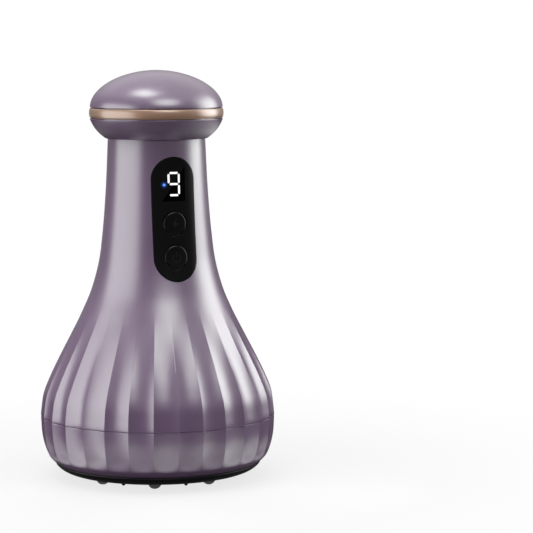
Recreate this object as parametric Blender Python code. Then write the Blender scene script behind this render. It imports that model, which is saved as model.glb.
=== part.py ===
"""Electric cupping massager, modelled as the pieces that it comes apart into.

Lengths are in metres, +Z is up, and the origin is on the object's axis at the
level of the steel beads that it stands on. The control panel faces -Y.
"""

import math

import bmesh
import bpy
from mathutils import Matrix, Vector

# Running gap left between neighbouring pieces
GAP = 0.0003
# How far a cutter runs past what it cuts
OVERRUN = 0.001

# Sides of the turned pieces, from the large shells down to the screws
FLUTE_COUNT = 30
POINTS_PER_FLUTE = 3
BODY_SIDES = 45
RING_SIDES = 36
CUP_SIDES = 32
PUMP_SIDES = 20
SMALL_SIDES = 12
SCREW_SIDES = 8
TUBE_SIDES = 6
SPRING_SIDES = 4
# Edges sharper than this many degrees stay sharp
SHARP_ANGLE = 32.0
# Small tools are turned by this share of a side, so that their edges miss the large pieces'
TOOL_TURN_SHARE = 0.3

# Face plate, which lies on the skin
BEAD_PROUD = 0.0027
BEAD_RADIUS = 0.0025
BEAD_COUNT = 8
BEAD_SHANK_RADIUS = 0.0012
BEAD_ROWS = 4
BEAD_POCKET_DEPTH = 0.0019
CUP_RADIUS = 0.0186
FACE_WIDTH = 0.0138
FACE_THICK = 0.0030
FACE_EDGE = 0.0004
FACE_REBATE_WIDTH = 0.0015
FACE_REBATE_DEPTH = 0.0012
BEAD_INSET = 0.0078
STUD_INNER_INSET = 0.0054
STUD_OUTER_INSET = 0.0099
STUD_RADIUS = 0.0009
STUD_HEIGHT = 0.0008
STUD_TOP_SHARE = 0.8
BOSS_RADIUS = 0.0022

# Black ring round the face plate: (share of the width, share of the height), from its flat rim up
BASE_RING_WIDTH = 0.0042
BASE_RING_HEIGHT = 0.00295
BASE_RING_SHARES = (
    (0.06, 0.0), (0.30, 0.24), (0.52, 0.46), (0.75, 0.66), (0.96, 0.84), (1.0, 1.0),
)

# Boards
BOARD_THICK = 0.0012

# Purple shells
BELLY_SWELL = 0.0051
SEAM_RISE = 0.01645
SHELL_WALL = 0.0024
FLOOR_THICK = 0.0023
TONGUE_WIDTH = 0.0010
TONGUE_HEIGHT = 0.00225
FLUTE_DEPTH = 0.0011
FLUTE_TURN = 2.2
FLUTE_FOOT_RISE = 0.0016
FLUTE_FOOT_RUN = 0.0045
FLUTE_HEAD_RUN = 0.0320
FLUTE_HEAD_SHARE = 0.40
# Lower shell up to the seam: (share of the height, share of the swell). The first pair only sets
# the slope at the foot
BELLY_SHARES = (
    (-0.03, -0.14), (0.0, 0.0), (0.05, 0.22), (0.145, 0.48), (0.40, 0.785), (0.65, 0.935),
    (1.0, 1.0),
)
# Upper shell above the seam: (share of the height, share of the flare)
BODY_SHARES = (
    (0.0, 1.0), (0.029, 0.99), (0.079, 0.957), (0.134, 0.868), (0.204, 0.727),
    (0.283, 0.555), (0.363, 0.385), (0.443, 0.245), (0.543, 0.132), (0.642, 0.078),
    (0.742, 0.043), (0.842, 0.021), (1.0, 0.0),
)
FLUTED_ROW_SHARES = (0.05, 0.11, 0.18, 0.26, 0.35)
NECK_ROW_SHARES = (0.43, 0.50, 0.58, 0.70, 0.85, 1.0)
INNER_ROW_SHARES = (1.0, 0.65, 0.45, 0.31, 0.19, 0.08)
LOWER_ROW_SHARES = (0.0, 0.06, 0.16, 0.36, 0.66)

# Posts and screws that hold the two shells together
SCREW_COUNT = 3
SCREW_RADIUS = 0.0010
SCREW_HEAD_RADIUS = 0.0019
SCREW_HEAD_HEIGHT = 0.0015
POST_RADIUS = 0.0024
POST_INSET = 0.0037
POST_HEIGHT = 0.0228
POST_WEB_HEIGHT = 0.0060
POST_WEB_WIDTH = 0.0016
# How far a web runs into the wall that it joins
WEB_BITE_SHARE = 0.4
SHELL_SCREW_LENGTH = 0.0120
FACE_SCREW_BITE = 0.0018
SHELL_SCREW_TURN = 90.0
FACE_SCREW_STEPS = (2, 5, 7)

# Suction cup
LINER_WALL = 0.0016
LINER_STEP = 0.0001
LINER_FLANGE_WIDTH = 0.0089
LINER_FLANGE_THICK = 0.0016
CUP_DEPTH = 0.0187
LEDGE_WIDTH = 0.0012
LEDGE_THICK = 0.0010
WINDOW_THICK = 0.0015
LIGHT_SPACE = 0.0013
LED_COUNT = 8
LED_SIDE = 0.0028
LED_HEIGHT = 0.0009
LED_CIRCLE = 0.0105
SEAL_WIDTH = 0.0014

# Vacuum pump
BRACKET_THICK = 0.0020
BRACKET_SKIRT = 0.0040
BRACKET_WALL = 0.0015
SLEEVE_WALL = 0.0028
SLEEVE_HEIGHT = 0.0084
MOTOR_RADIUS = 0.0122
MOTOR_LENGTH = 0.0200
MOTOR_WALL = 0.0010
MAGNET_WALL = 0.0024
MAGNET_LENGTH = 0.0120
ROTOR_LENGTH = 0.0110
SHAFT_RADIUS = 0.0010
SHAFT_STANDOUT = 0.0058
ECCENTRIC_RADIUS = 0.0030
ECCENTRIC_OFFSET = 0.0012
ECCENTRIC_LENGTH = 0.0026
PUMP_RADIUS = 0.0135
CRANKCASE_LENGTH = 0.0070
DIAPHRAGM_THICK = 0.0010
DIAPHRAGM_BOSS_RADIUS = 0.0025
DIAPHRAGM_BOSS_DEPTH = 0.0010
PUMP_CAP_LENGTH = 0.0055

# Air line
BARB_RADIUS = 0.0015
BARB_BORE = 0.0008
BARB_LENGTH = 0.0040
NOZZLE_LENGTH = 0.0039
HOSE_RADIUS = 0.0017
HOSE_BORE = 0.0009
MANIFOLD_DEPTH = 0.0052
MANIFOLD_WIDTH = 0.0080
MANIFOLD_HEIGHT = 0.0080
MANIFOLD_DROP_SHARE = 0.6
MANIFOLD_SOCKET = 0.0022
ELBOW_REACH = 0.0064
ELBOW_DROP = 0.0034
ELBOW_COLLAR = 0.0011
SENSOR_DEPTH = 0.0030
SENSOR_SIDE = 0.0046
LEAD_RADIUS = 0.0008
HOSE_STEPS = 2
# Routes, as shares of the run from one end to the other
CUP_HOSE_SHARES = ((0.0, 0.0), (0.0, 0.15), (0.2, 0.45), (1.0, 0.85), (1.0, 1.0))
VALVE_HOSE_SHARES = (
    (0.0, 0.0, 0.0), (0.0, 0.0, 0.04), (0.14, 0.02, 0.1), (0.5, 0.3, 0.27), (0.82, 0.7, 0.5),
    (1.0, 1.0, 0.88), (1.0, 1.0, 1.0),
)
LEAD_SHARES = ((0.0, 0.0), (0.12, 0.03), (0.95, 0.13), (1.0, 0.4), (1.0, 0.8))

# Battery and its holder
CELL_RADIUS = 0.0092
CELL_LENGTH = 0.0350
CELL_TIP_RADIUS = 0.0030
CELL_TIP_HEIGHT = 0.0010
CELL_SETBACK = 0.0036
HOLDER_WALL = 0.0012
HOLDER_FOOT = 0.0060
HOLDER_FRONT = 0.0106
HOLDER_FLOOR_FRONT = 0.0058
CHANNEL_ARC_POINTS = 9

# Control electronics
MAIN_BOARD_HALF_WIDTH = 0.0090
MAIN_BOARD_RISE = 0.0063
MAIN_BOARD_MARGIN = 0.0026
SWITCH_SIDE = 0.0044
SWITCH_HEIGHT = 0.0016
SWITCH_TIP_RADIUS = 0.0009
SWITCH_TIP = 0.0004
DISPLAY_HALF_WIDTH = 0.0026
DISPLAY_HALF_HEIGHT = 0.0062
LED_PIPE_RADIUS = 0.00055
LED_PIPE_SHIFT = 0.0035
LED_PIPE_DROP = 0.00035

# Control panel and its buttons
PLATE_THICK = 0.0009
PLATE_ARC_POINTS = 11
PANEL_DROP = 0.0088
PANEL_WIDTH = 0.0158
# Webs left round the holes behind the panel, from its foot to its head
POWER_MARGIN = 0.0032
BUTTON_MARGIN = 0.00105
DIGIT_MARGIN = 0.0021
DISPLAY_MARGIN = 0.00295
BUTTON_RADIUS = 0.0042
BUTTON_FLANGE = 0.0008
BUTTON_FLANGE_THICK = 0.0009
BUTTON_STEM_RADIUS = 0.0015
BUTTON_TRAVEL = 0.0005
BUTTON_CLEAR = 0.0001

# Rear badge and charging socket
BADGE_DROP = 0.0099
BADGE_HEIGHT = 0.0380
BADGE_WIDTH = 0.0120
PORT_DROP = 0.0092
PORT_HALF_WIDTH = 0.0045
PORT_HEIGHT = 0.0032
PORT_LENGTH = 0.0060
PORT_WALL = 0.0004
PORT_SINK = 0.0008
PORT_TONGUE_HEIGHT = 0.0007
PORT_TONGUE_HALF_WIDTH = 0.0033
PORT_BACK = 0.0012
PORT_ARC_POINTS = 7
PORT_BOARD_HALF_WIDTH = 0.0060
PORT_BOARD_LENGTH = 0.0056

# Neck cap and vent valve
NECK_FIT = 0.0003
CAP_PLUG = 0.0060
CAP_FLANGE_THICK = 0.0016
CAP_BOSS_RADIUS = 0.0039
CAP_BOSS_DEPTH = 0.0029
VALVE_BORE = 0.0022
VALVE_LENGTH = 0.0102
VALVE_WALL = 0.0014
VALVE_LUG_REACH = 0.0127
VALVE_LUG_TURN = 0.0030
VALVE_LUG_RADIUS = 0.0021
VALVE_LUG_HEIGHT = 0.0040
ROD_RADIUS = 0.0016
POPPET_RADIUS = 0.0030
POPPET_THICK = 0.0013
VALVE_SEAL_WIDTH = 0.0016
VALVE_SEAL_THICK = 0.0013

# Release knob
LIP_CLEARANCE = 0.0005
LIP_HEIGHT = 0.0029
LIP_EDGE = 0.0004
KNOB_OVERHANG = 0.0054
KNOB_TRAVEL = 0.0020
KNOB_WALL = 0.0016
COLLAR_WALL = 0.0011
BOWL_HEIGHT = 0.0070
BOWL_BULGE = 0.0004
BOWL_ARC_POINTS = 5
BAND_HEIGHT = 0.0034
BAND_PROUD = 0.0004
BAND_THICK = 0.0014
BAND_EDGE = 0.0004
DOME_HEIGHT = 0.0132
DOME_SETBACK = 0.0001
DOME_ROWS = 7
DOME_INNER_ROWS = 4
DOME_SPREAD_SHARE = 1.3
SKIRT_DEPTH = 0.0028
RETAINER_RADIUS = 0.0058
RETAINER_THICK = 0.0012
DOME_BOSS_RADIUS = 0.0040
DOME_BOSS_DEPTH = 0.0040
SPRING_RADIUS = 0.0044
SPRING_WIRE = 0.00045
SPRING_TURNS = 5
SPRING_POINTS = 8

# Heights of the stack, from the beads upwards
FACE_Z = BEAD_PROUD
FACE_TOP = FACE_Z + FACE_THICK
ELECTRODE_BOARD_Z = FACE_TOP + GAP
FLOOR_Z = ELECTRODE_BOARD_Z + BOARD_THICK + GAP
FLOOR_TOP = FLOOR_Z + FLOOR_THICK
SHELL_FOOT_Z = FACE_Z + BASE_RING_HEIGHT + GAP
SEAM_Z = SHELL_FOOT_Z + SEAM_RISE
SHELL_SCREW_SEAT = SHELL_FOOT_Z + SCREW_HEAD_HEIGHT + 2 * GAP
LINER_FLANGE_Z = FLOOR_TOP + GAP
LINER_FLANGE_TOP = LINER_FLANGE_Z + LINER_FLANGE_THICK
LEDGE_Z = FACE_Z + CUP_DEPTH
WINDOW_Z = LEDGE_Z + LEDGE_THICK + GAP
LIGHT_BOARD_Z = WINDOW_Z + WINDOW_THICK + LIGHT_SPACE
LINER_TOP = LIGHT_BOARD_Z + BOARD_THICK + GAP
BRACKET_Z = LINER_TOP + GAP
BRACKET_TOP = BRACKET_Z + BRACKET_THICK
MOTOR_Z = BRACKET_TOP + GAP
MOTOR_TOP = MOTOR_Z + MOTOR_LENGTH
CRANKCASE_Z = MOTOR_TOP + GAP
DIAPHRAGM_Z = CRANKCASE_Z + CRANKCASE_LENGTH + GAP
PUMP_CAP_Z = DIAPHRAGM_Z + DIAPHRAGM_THICK + GAP
PUMP_TOP = PUMP_CAP_Z + PUMP_CAP_LENGTH
NOZZLE_Z = PUMP_CAP_Z + PUMP_CAP_LENGTH / 2
HOLDER_Z = PUMP_TOP + GAP
HOLDER_FLOOR_Z = HOLDER_Z + HOLDER_FOOT
CELL_Z = HOLDER_FLOOR_Z + HOLDER_WALL + GAP
HOLDER_TOP = CELL_Z + CELL_LENGTH + CELL_TIP_HEIGHT
VALVE_Z = HOLDER_TOP + GAP
VALVE_BARB_Z = VALVE_Z - VALVE_LUG_HEIGHT + 2 * GAP
CAP_PLUG_Z = VALVE_Z + VALVE_LENGTH + GAP
VALVE_SEAT_Z = CAP_PLUG_Z - CAP_BOSS_DEPTH
CAP_FLANGE_Z = CAP_PLUG_Z + CAP_PLUG
NECK_TOP = CAP_FLANGE_Z - GAP
LIP_Z = NECK_TOP - LIP_HEIGHT
BAND_Z = LIP_Z + BOWL_HEIGHT + GAP
DOME_Z = BAND_Z + BAND_HEIGHT + GAP
KNOB_TOP = DOME_Z + DOME_HEIGHT
DOME_BOSS_Z = KNOB_TOP - KNOB_WALL - DOME_BOSS_DEPTH - GAP

# Radii, from the cup outwards and from the battery outwards
FACE_RADIUS = CUP_RADIUS + FACE_WIDTH
BEAD_CIRCLE = CUP_RADIUS + BEAD_INSET
BASE_RING_RADIUS = FACE_RADIUS + GAP + BASE_RING_WIDTH
BELLY_RADIUS = BASE_RING_RADIUS + BELLY_SWELL
TONGUE_RADIUS = BELLY_RADIUS - SHELL_WALL - FLUTE_DEPTH + TONGUE_WIDTH
LINER_BORE = CUP_RADIUS + LINER_STEP
LINER_RADIUS = LINER_BORE + LINER_WALL
FLOOR_STEP_RADIUS = FACE_RADIUS - FACE_REBATE_WIDTH - GAP
POST_CIRCLE = BASE_RING_RADIUS - POST_INSET
HOLDER_HALF = CELL_RADIUS + GAP + HOLDER_WALL
BOARD_FACE_Y = -HOLDER_FRONT - GAP - BOARD_THICK
NECK_BORE = NECK_FIT + max(
    math.hypot(HOLDER_HALF, HOLDER_FRONT), math.hypot(MAIN_BOARD_HALF_WIDTH, BOARD_FACE_Y)
)
NECK_RADIUS = NECK_BORE + SHELL_WALL
LIP_RADIUS = NECK_RADIUS + LIP_CLEARANCE
KNOB_RADIUS = LIP_RADIUS + KNOB_OVERHANG
CAP_FLANGE_RADIUS = LIP_RADIUS + (KNOB_OVERHANG - KNOB_WALL) / 3

# Places on the neck
BUTTON_HOLE_RADIUS = BUTTON_RADIUS + BUTTON_FLANGE + GAP
WINDOW_HALF_HEIGHT = DISPLAY_HALF_HEIGHT + GAP
PANEL_TOP = NECK_TOP - PANEL_DROP
DIGIT_Z = PANEL_TOP - DISPLAY_MARGIN - WINDOW_HALF_HEIGHT
MODE_Z = DIGIT_Z - WINDOW_HALF_HEIGHT - DIGIT_MARGIN - BUTTON_HOLE_RADIUS
POWER_Z = MODE_Z - 2 * BUTTON_HOLE_RADIUS - BUTTON_MARGIN
PANEL_Z = POWER_Z - BUTTON_HOLE_RADIUS - POWER_MARGIN
MAIN_BOARD_Z = PUMP_TOP + MAIN_BOARD_RISE
BADGE_TOP = NECK_TOP - BADGE_DROP
BADGE_Z = BADGE_TOP - BADGE_HEIGHT
PORT_Z = BADGE_Z - PORT_DROP


def clear_scene():
    """Empty the scene, so that the script can be run again."""
    for item in list(bpy.data.objects):
        bpy.data.objects.remove(item, do_unlink=True)


def make_material(name, color, roughness, metallic=0.0):
    """A plain surface of one colour."""
    material = bpy.data.materials.new(name)
    material.use_nodes = True
    shader = material.node_tree.nodes["Principled BSDF"]
    shader.inputs["Base Color"].default_value = (*color, 1.0)
    shader.inputs["Roughness"].default_value = roughness
    shader.inputs["Metallic"].default_value = metallic
    return material


def make_empty(name, place=(0.0, 0.0, 0.0)):
    """A frame that carries the pieces of one body."""
    empty = bpy.data.objects.new(name, None)
    empty.location = place
    bpy.context.collection.objects.link(empty)
    return empty


def gather(works):
    """Several shapes that don't touch, as one bmesh."""
    whole = works[0]
    for other in works[1:]:
        mesh = bpy.data.meshes.new("loose")
        other.to_mesh(mesh)
        other.free()
        whole.from_mesh(mesh)
        bpy.data.meshes.remove(mesh)
    return whole


def make_piece(name, *works, place=(0.0, 0.0, 0.0), material=None, parent=None):
    """Turn shapes into one linked object with its faces outwards."""
    work = gather(works)
    bmesh.ops.recalc_face_normals(work, faces=work.faces)
    mesh = bpy.data.meshes.new(name)
    work.to_mesh(mesh)
    work.free()
    mesh.shade_smooth()
    mesh.set_sharp_from_angle(angle=math.radians(SHARP_ANGLE))
    item = bpy.data.objects.new(name, mesh)
    bpy.context.collection.objects.link(item)
    item.location = Vector(place) - (parent.location if parent else Vector())
    item.parent = parent
    if material:
        mesh.materials.append(material)
    return item


def combine(target, operation, tool):
    """Add a Boolean of a tool, which is no part of the product itself."""
    tool.hide_render = True
    tool.display_type = "WIRE"
    modifier = target.modifiers.new(tool.name, "BOOLEAN")
    modifier.operation = operation
    modifier.solver = "EXACT"
    modifier.object = tool


def add_shapes(target, name, *works):
    """Join shapes to an object."""
    combine(target, "UNION", make_piece(name, *works))


def cut_shapes(target, name, *works):
    """Cut shapes out of an object."""
    combine(target, "DIFFERENCE", make_piece(name, *works))


def add_ring(work, points):
    """One row of vertices."""
    return [work.verts.new(point) for point in points]


def bridge(work, first, second):
    """Faces between two rows of the same count, to a single point, or to a row of fewer points."""
    if len(first) < len(second):
        first, second = second, first
    count = len(first)
    if count == 1:
        return
    if len(second) == 1:
        for index in range(count):
            work.faces.new((first[index], first[(index + 1) % count], second[0]))
        return
    step = count // len(second)
    for index, vertex in enumerate(second):
        following = second[(index + 1) % len(second)]
        fan = [first[(index * step + offset) % count] for offset in range(step + 1)]
        work.faces.new((fan[0], fan[1], following, vertex))
        for offset in range(1, step):
            work.faces.new((fan[offset], fan[offset + 1], following))


def circle_points(radius, height, sides, phase=0.0):
    """A row round the Z axis, starting at -Y, turned on by a share of one side."""
    points = []
    for index in range(sides):
        angle = 2 * math.pi * (index + phase) / sides - math.pi / 2
        points.append((radius * math.cos(angle), radius * math.sin(angle), height))
    return points


def closed_rows(rows):
    """A solid from rows of points that follow each other round its section."""
    work = bmesh.new()
    rings = [add_ring(work, row) for row in rows]
    for index, ring in enumerate(rings):
        bridge(work, ring, rings[(index + 1) % len(rings)])
    return work


def turned(outline, sides, at=None):
    """A solid turned from (radius, height) points, which close on themselves or on the axis."""
    phase = TOOL_TURN_SHARE if at else 0.0
    rows = []
    for radius, height in outline:
        if radius:
            rows.append(circle_points(radius, height, sides, phase))
        else:
            rows.append([(0, 0, height)])
    work = closed_rows(rows)
    if at:
        bmesh.ops.translate(work, vec=Vector(at), verts=work.verts)
    return work


def annulus(inner, outer, low, high):
    """The outline of a plain ring."""
    return [(inner, low), (outer, low), (outer, high), (inner, high)]


def disc(radius, low, high):
    """The outline of a plain disc."""
    return [(0, low), (radius, low), (radius, high), (0, high)]


def rod(radius, start, end, sides=SMALL_SIDES):
    """A round bar between two points."""
    start, end = Vector(start), Vector(end)
    run = end - start
    rows = [[(0, 0, 0)], circle_points(radius, 0, sides, TOOL_TURN_SHARE)]
    rows += [circle_points(radius, run.length, sides, TOOL_TURN_SHARE), [(0, 0, run.length)]]
    work = closed_rows(rows)
    turn = run.to_track_quat("Z", "Y").to_matrix().to_4x4()
    bmesh.ops.transform(work, matrix=Matrix.Translation(start) @ turn, verts=work.verts)
    return work


def block(low, high):
    """A rectangular block between two corners."""
    low, high = Vector(low), Vector(high)
    work = bmesh.new()
    shape = Matrix.Translation((low + high) / 2) @ Matrix.Diagonal((*(high - low), 1))
    bmesh.ops.create_cube(work, size=1, matrix=shape)
    return work


def prism(outline, low, high, turn=None):
    """A flat outline of (x, y), drawn out from one level to another."""
    work = bmesh.new()
    lower = add_ring(work, [(x, y, low) for x, y in outline])
    upper = add_ring(work, [(x, y, high) for x, y in outline])
    bridge(work, lower, upper)
    work.faces.new(lower)
    work.faces.new(upper)
    if turn:
        bmesh.ops.transform(work, matrix=turn, verts=work.verts)
    return work


def stadium(width, height, arc_points):
    """An outline with round ends, the long way along whichever side is longer."""
    radius = min(width, height) / 2
    along_x, along_y = width / 2 - radius, height / 2 - radius
    points = []
    for end, base in ((1, 0.0), (-1, math.pi)):
        for index in range(arc_points + 1):
            angle = base + math.pi * index / arc_points
            if along_y < along_x:
                angle -= math.pi / 2
            points.append(
                (radius * math.cos(angle) + end * along_x, radius * math.sin(angle) + end * along_y)
            )
    return points


def swept(path, radius, sides=TUBE_SIDES, bore=0.0):
    """A bar, or a tube with a bore, along a path of points."""
    path = [Vector(point) for point in path]
    work = bmesh.new()
    across = None
    outer, inner = [], []
    for index, point in enumerate(path):
        ahead = path[min(index + 1, len(path) - 1)] - path[max(index - 1, 0)]
        ahead.normalize()
        across = across or ahead.orthogonal().normalized()
        across = (across - ahead * across.dot(ahead)).normalized()
        side = ahead.cross(across)
        turns = [2 * math.pi * step / sides for step in range(sides)]
        spokes = [across * math.cos(turn) + side * math.sin(turn) for turn in turns]
        outer.append(add_ring(work, [point + spoke * radius for spoke in spokes]))
        if bore:
            inner.append(add_ring(work, [point + spoke * bore for spoke in spokes]))
    for rows in (outer, inner):
        for first, second in zip(rows, rows[1:]):
            bridge(work, first, second)
    for end in (0, -1):
        if bore:
            bridge(work, outer[end], inner[end])
        else:
            work.faces.new(outer[end])
    return work


def smooth_path(knots, steps):
    """A smooth route through a few points, with the given steps between them."""
    knots = [Vector(knot) for knot in knots]
    padded = [2 * knots[0] - knots[1], *knots, 2 * knots[-1] - knots[-2]]
    route = []
    for a, b, c, d in zip(padded, padded[1:], padded[2:], padded[3:]):
        for step in range(steps):
            t = step / steps
            bend = (2 * a - 5 * b + 4 * c - d) * t * t + (3 * b - a - 3 * c + d) * t ** 3
            route.append((2 * b + (c - a) * t + bend) / 2)
    route.append(knots[-1])
    return route


def around(radius, degrees, height=0.0):
    """A point round the axis, with 0 degrees at +X."""
    angle = math.radians(degrees)
    return Vector((radius * math.cos(angle), radius * math.sin(angle), height))


def turn_outwards(place):
    """The turn that brings +X round to a place's own direction from the axis."""
    return Matrix.Rotation(math.atan2(place[1], place[0]), 4, "Z")


def facing_turn(height):
    """The turn that stands a flat outline upright at a height, drawn out towards -Y."""
    return Matrix.Translation((0, 0, height)) @ Matrix.Rotation(math.pi / 2, 4, "X")


def smooth_along(table, share):
    """Read a table of shares as one smooth curve."""
    last = len(table) - 1
    index = 0
    while index < last - 1 and share > table[index + 1][0]:
        index += 1

    def slope(at):
        before, after = table[max(at - 1, 0)], table[min(at + 1, last)]
        return (after[1] - before[1]) / (after[0] - before[0])

    (x0, y0), (x1, y1) = table[index], table[index + 1]
    run = x1 - x0
    t = (share - x0) / run
    start = slope(index) if index else 0.0
    end = slope(index + 1)
    ends = y0 * (1 + 2 * t) * (1 - t) ** 2 + y1 * t * t * (3 - 2 * t)
    return ends + run * t * (1 - t) * (start * (1 - t) - end * t)


def ease(value):
    """A smooth step from 0 to 1."""
    value = min(max(value, 0.0), 1.0)
    return value * value * (3 - 2 * value)


def body_height(share):
    """The height at a share of the upper shell."""
    return SEAM_Z + (NECK_TOP - SEAM_Z) * share


def body_radius(height):
    """The outside of the purple body, over the edges between its flutes."""
    if height < SEAM_Z:
        share = (height - SHELL_FOOT_Z) / SEAM_RISE
        return BASE_RING_RADIUS + BELLY_SWELL * smooth_along(BELLY_SHARES, share)
    share = min((height - SEAM_Z) / (NECK_TOP - SEAM_Z), 1.0)
    return NECK_RADIUS + (BELLY_RADIUS - NECK_RADIUS) * smooth_along(BODY_SHARES, share)


def flute_depth(height):
    """How deep the flutes are at a height."""
    rising = ease((height - SHELL_FOOT_Z - FLUTE_FOOT_RISE) / FLUTE_FOOT_RUN)
    fading = ease((body_height(FLUTE_HEAD_SHARE) - height) / FLUTE_HEAD_RUN)
    return FLUTE_DEPTH * rising * fading


def fluted_points(height):
    """A row of the fluted outside, with an edge between flutes near -Y, turned on from it."""
    sides = FLUTE_COUNT * POINTS_PER_FLUTE
    start = math.radians(FLUTE_TURN) - math.pi / 2
    points = []
    for index in range(sides):
        across = 2 * (index % POINTS_PER_FLUTE) / POINTS_PER_FLUTE - 1
        radius = body_radius(height) - flute_depth(height) * (1 - across * across)
        angle = start + 2 * math.pi * index / sides
        points.append((radius * math.cos(angle), radius * math.sin(angle), height))
    return points


def neck_points(share, offset):
    """A row of the neck's outside, moved out or in by an offset."""
    height = body_height(share)
    return circle_points(body_radius(height) + offset, height, BODY_SIDES)


def neck_layer(name, inner_offset, outer_offset):
    """A tool: the neck's own surface, as a layer between two offsets from its outside."""
    rows = [neck_points(share, outer_offset) for share in NECK_ROW_SHARES]
    rows += [neck_points(share, inner_offset) for share in reversed(NECK_ROW_SHARES)]
    return make_piece(name, closed_rows(rows))


def plate_prism(width, low, high, facing):
    """A stadium-shaped bar through the neck's wall, facing -Y (-1) or +Y (+1)."""
    reach = body_radius(PORT_Z) + 2 * OVERRUN
    ends = (0, reach) if facing < 0 else (-reach, 0)
    return prism(stadium(width, high - low, PLATE_ARC_POINTS), *ends,
                 turn=facing_turn((low + high) / 2))


def screw_outline(length, seat=0.0):
    """A pan head over a plain shank, with the underside of its head at a height."""
    return [
        (0, seat - length),
        (SCREW_RADIUS, seat - length),
        (SCREW_RADIUS, seat),
        (SCREW_HEAD_RADIUS, seat),
        (SCREW_HEAD_RADIUS, seat + SCREW_HEAD_HEIGHT / 2),
        (SCREW_HEAD_RADIUS - GAP, seat + SCREW_HEAD_HEIGHT),
        (0, seat + SCREW_HEAD_HEIGHT),
    ]


def face_screw_places():
    """Where the screws stand that clamp the face plate, between the beads."""
    return [around(BEAD_CIRCLE, 360.0 / BEAD_COUNT * step) for step in FACE_SCREW_STEPS]


def shell_screw_places():
    """Where the screws stand that join the two shells."""
    step = 360.0 / SCREW_COUNT
    return [around(POST_CIRCLE, SHELL_SCREW_TURN + step * index) for index in range(SCREW_COUNT)]


def bead_places():
    """Where the beads stand, half a step from the studs."""
    return [around(BEAD_CIRCLE, 360.0 / BEAD_COUNT * (index + 0.5)) for index in range(BEAD_COUNT)]


def drill(places, radius, low, high):
    """Round tools of one size at several places."""
    return [turned(disc(radius, low, high), SCREW_SIDES, at=place) for place in places]


def build_face_plate(materials, body):
    """The plate that lies on the skin, with its rubber-like studs, bosses and bead pockets."""
    face = make_piece("face_plate", turned([
        (CUP_RADIUS, FACE_Z + FACE_EDGE),
        (CUP_RADIUS + FACE_EDGE, FACE_Z),
        (FACE_RADIUS - FACE_EDGE, FACE_Z),
        (FACE_RADIUS, FACE_Z + FACE_EDGE),
        (FACE_RADIUS, FACE_TOP - FACE_REBATE_DEPTH),
        (FACE_RADIUS - FACE_REBATE_WIDTH, FACE_TOP - FACE_REBATE_DEPTH),
        (FACE_RADIUS - FACE_REBATE_WIDTH, FACE_TOP),
        (CUP_RADIUS, FACE_TOP),
    ], CUP_SIDES), material=materials["face_black"], parent=body)

    stud = [
        (0, FACE_Z - STUD_HEIGHT),
        (STUD_RADIUS * STUD_TOP_SHARE, FACE_Z - STUD_HEIGHT * STUD_TOP_SHARE),
        (STUD_RADIUS, FACE_Z + FACE_EDGE / 2),
        (0, FACE_Z + FACE_EDGE / 2),
    ]
    step = 360.0 / BEAD_COUNT
    additions = []
    for index in range(BEAD_COUNT):
        for inset in (STUD_INNER_INSET, STUD_OUTER_INSET):
            place = around(CUP_RADIUS + inset, step * index)
            additions.append(turned(stud, TUBE_SIDES, at=place))
    boss_top = FLOOR_Z - GAP
    additions += drill(face_screw_places(), BOSS_RADIUS, FACE_TOP - FACE_EDGE, boss_top)
    add_shapes(face, "face_studs", *additions)

    pocket_top = FACE_Z + BEAD_POCKET_DEPTH
    pocket = [
        (0, FACE_Z - OVERRUN),
        (BEAD_RADIUS + GAP, FACE_Z - OVERRUN),
        (BEAD_RADIUS + GAP, pocket_top),
        (BEAD_SHANK_RADIUS + GAP, pocket_top),
        (BEAD_SHANK_RADIUS + GAP, FACE_TOP + OVERRUN),
        (0, FACE_TOP + OVERRUN),
    ]
    cuts = [turned(pocket, SCREW_SIDES, at=place) for place in bead_places()]
    hole_foot = FACE_TOP - FACE_SCREW_BITE - GAP
    cuts += drill(face_screw_places(), SCREW_RADIUS + GAP, hole_foot, boss_top + OVERRUN)
    cut_shapes(face, "face_holes", *cuts)


def build_beads(materials, body):
    """Steel beads on shanks, which reach through the board behind the face plate."""
    shoulder = FACE_Z + BEAD_POCKET_DEPTH - GAP
    shank_top = FLOOR_Z - GAP
    widest = math.asin(min(shoulder / BEAD_RADIUS - 1, 1.0))
    outline = [(0, 0)]
    for row in range(1, BEAD_ROWS + 1):
        angle = (widest + math.pi / 2) * row / BEAD_ROWS - math.pi / 2
        outline.append((BEAD_RADIUS * math.cos(angle), BEAD_RADIUS + BEAD_RADIUS * math.sin(angle)))
    outline += [(BEAD_SHANK_RADIUS, shoulder), (BEAD_SHANK_RADIUS, shank_top), (0, shank_top)]
    for index, place in enumerate(bead_places()):
        make_piece("electrode_bead_%d" % (index + 1), turned(outline, SMALL_SIDES), place=place,
                   material=materials["bead_steel"], parent=body)


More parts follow.
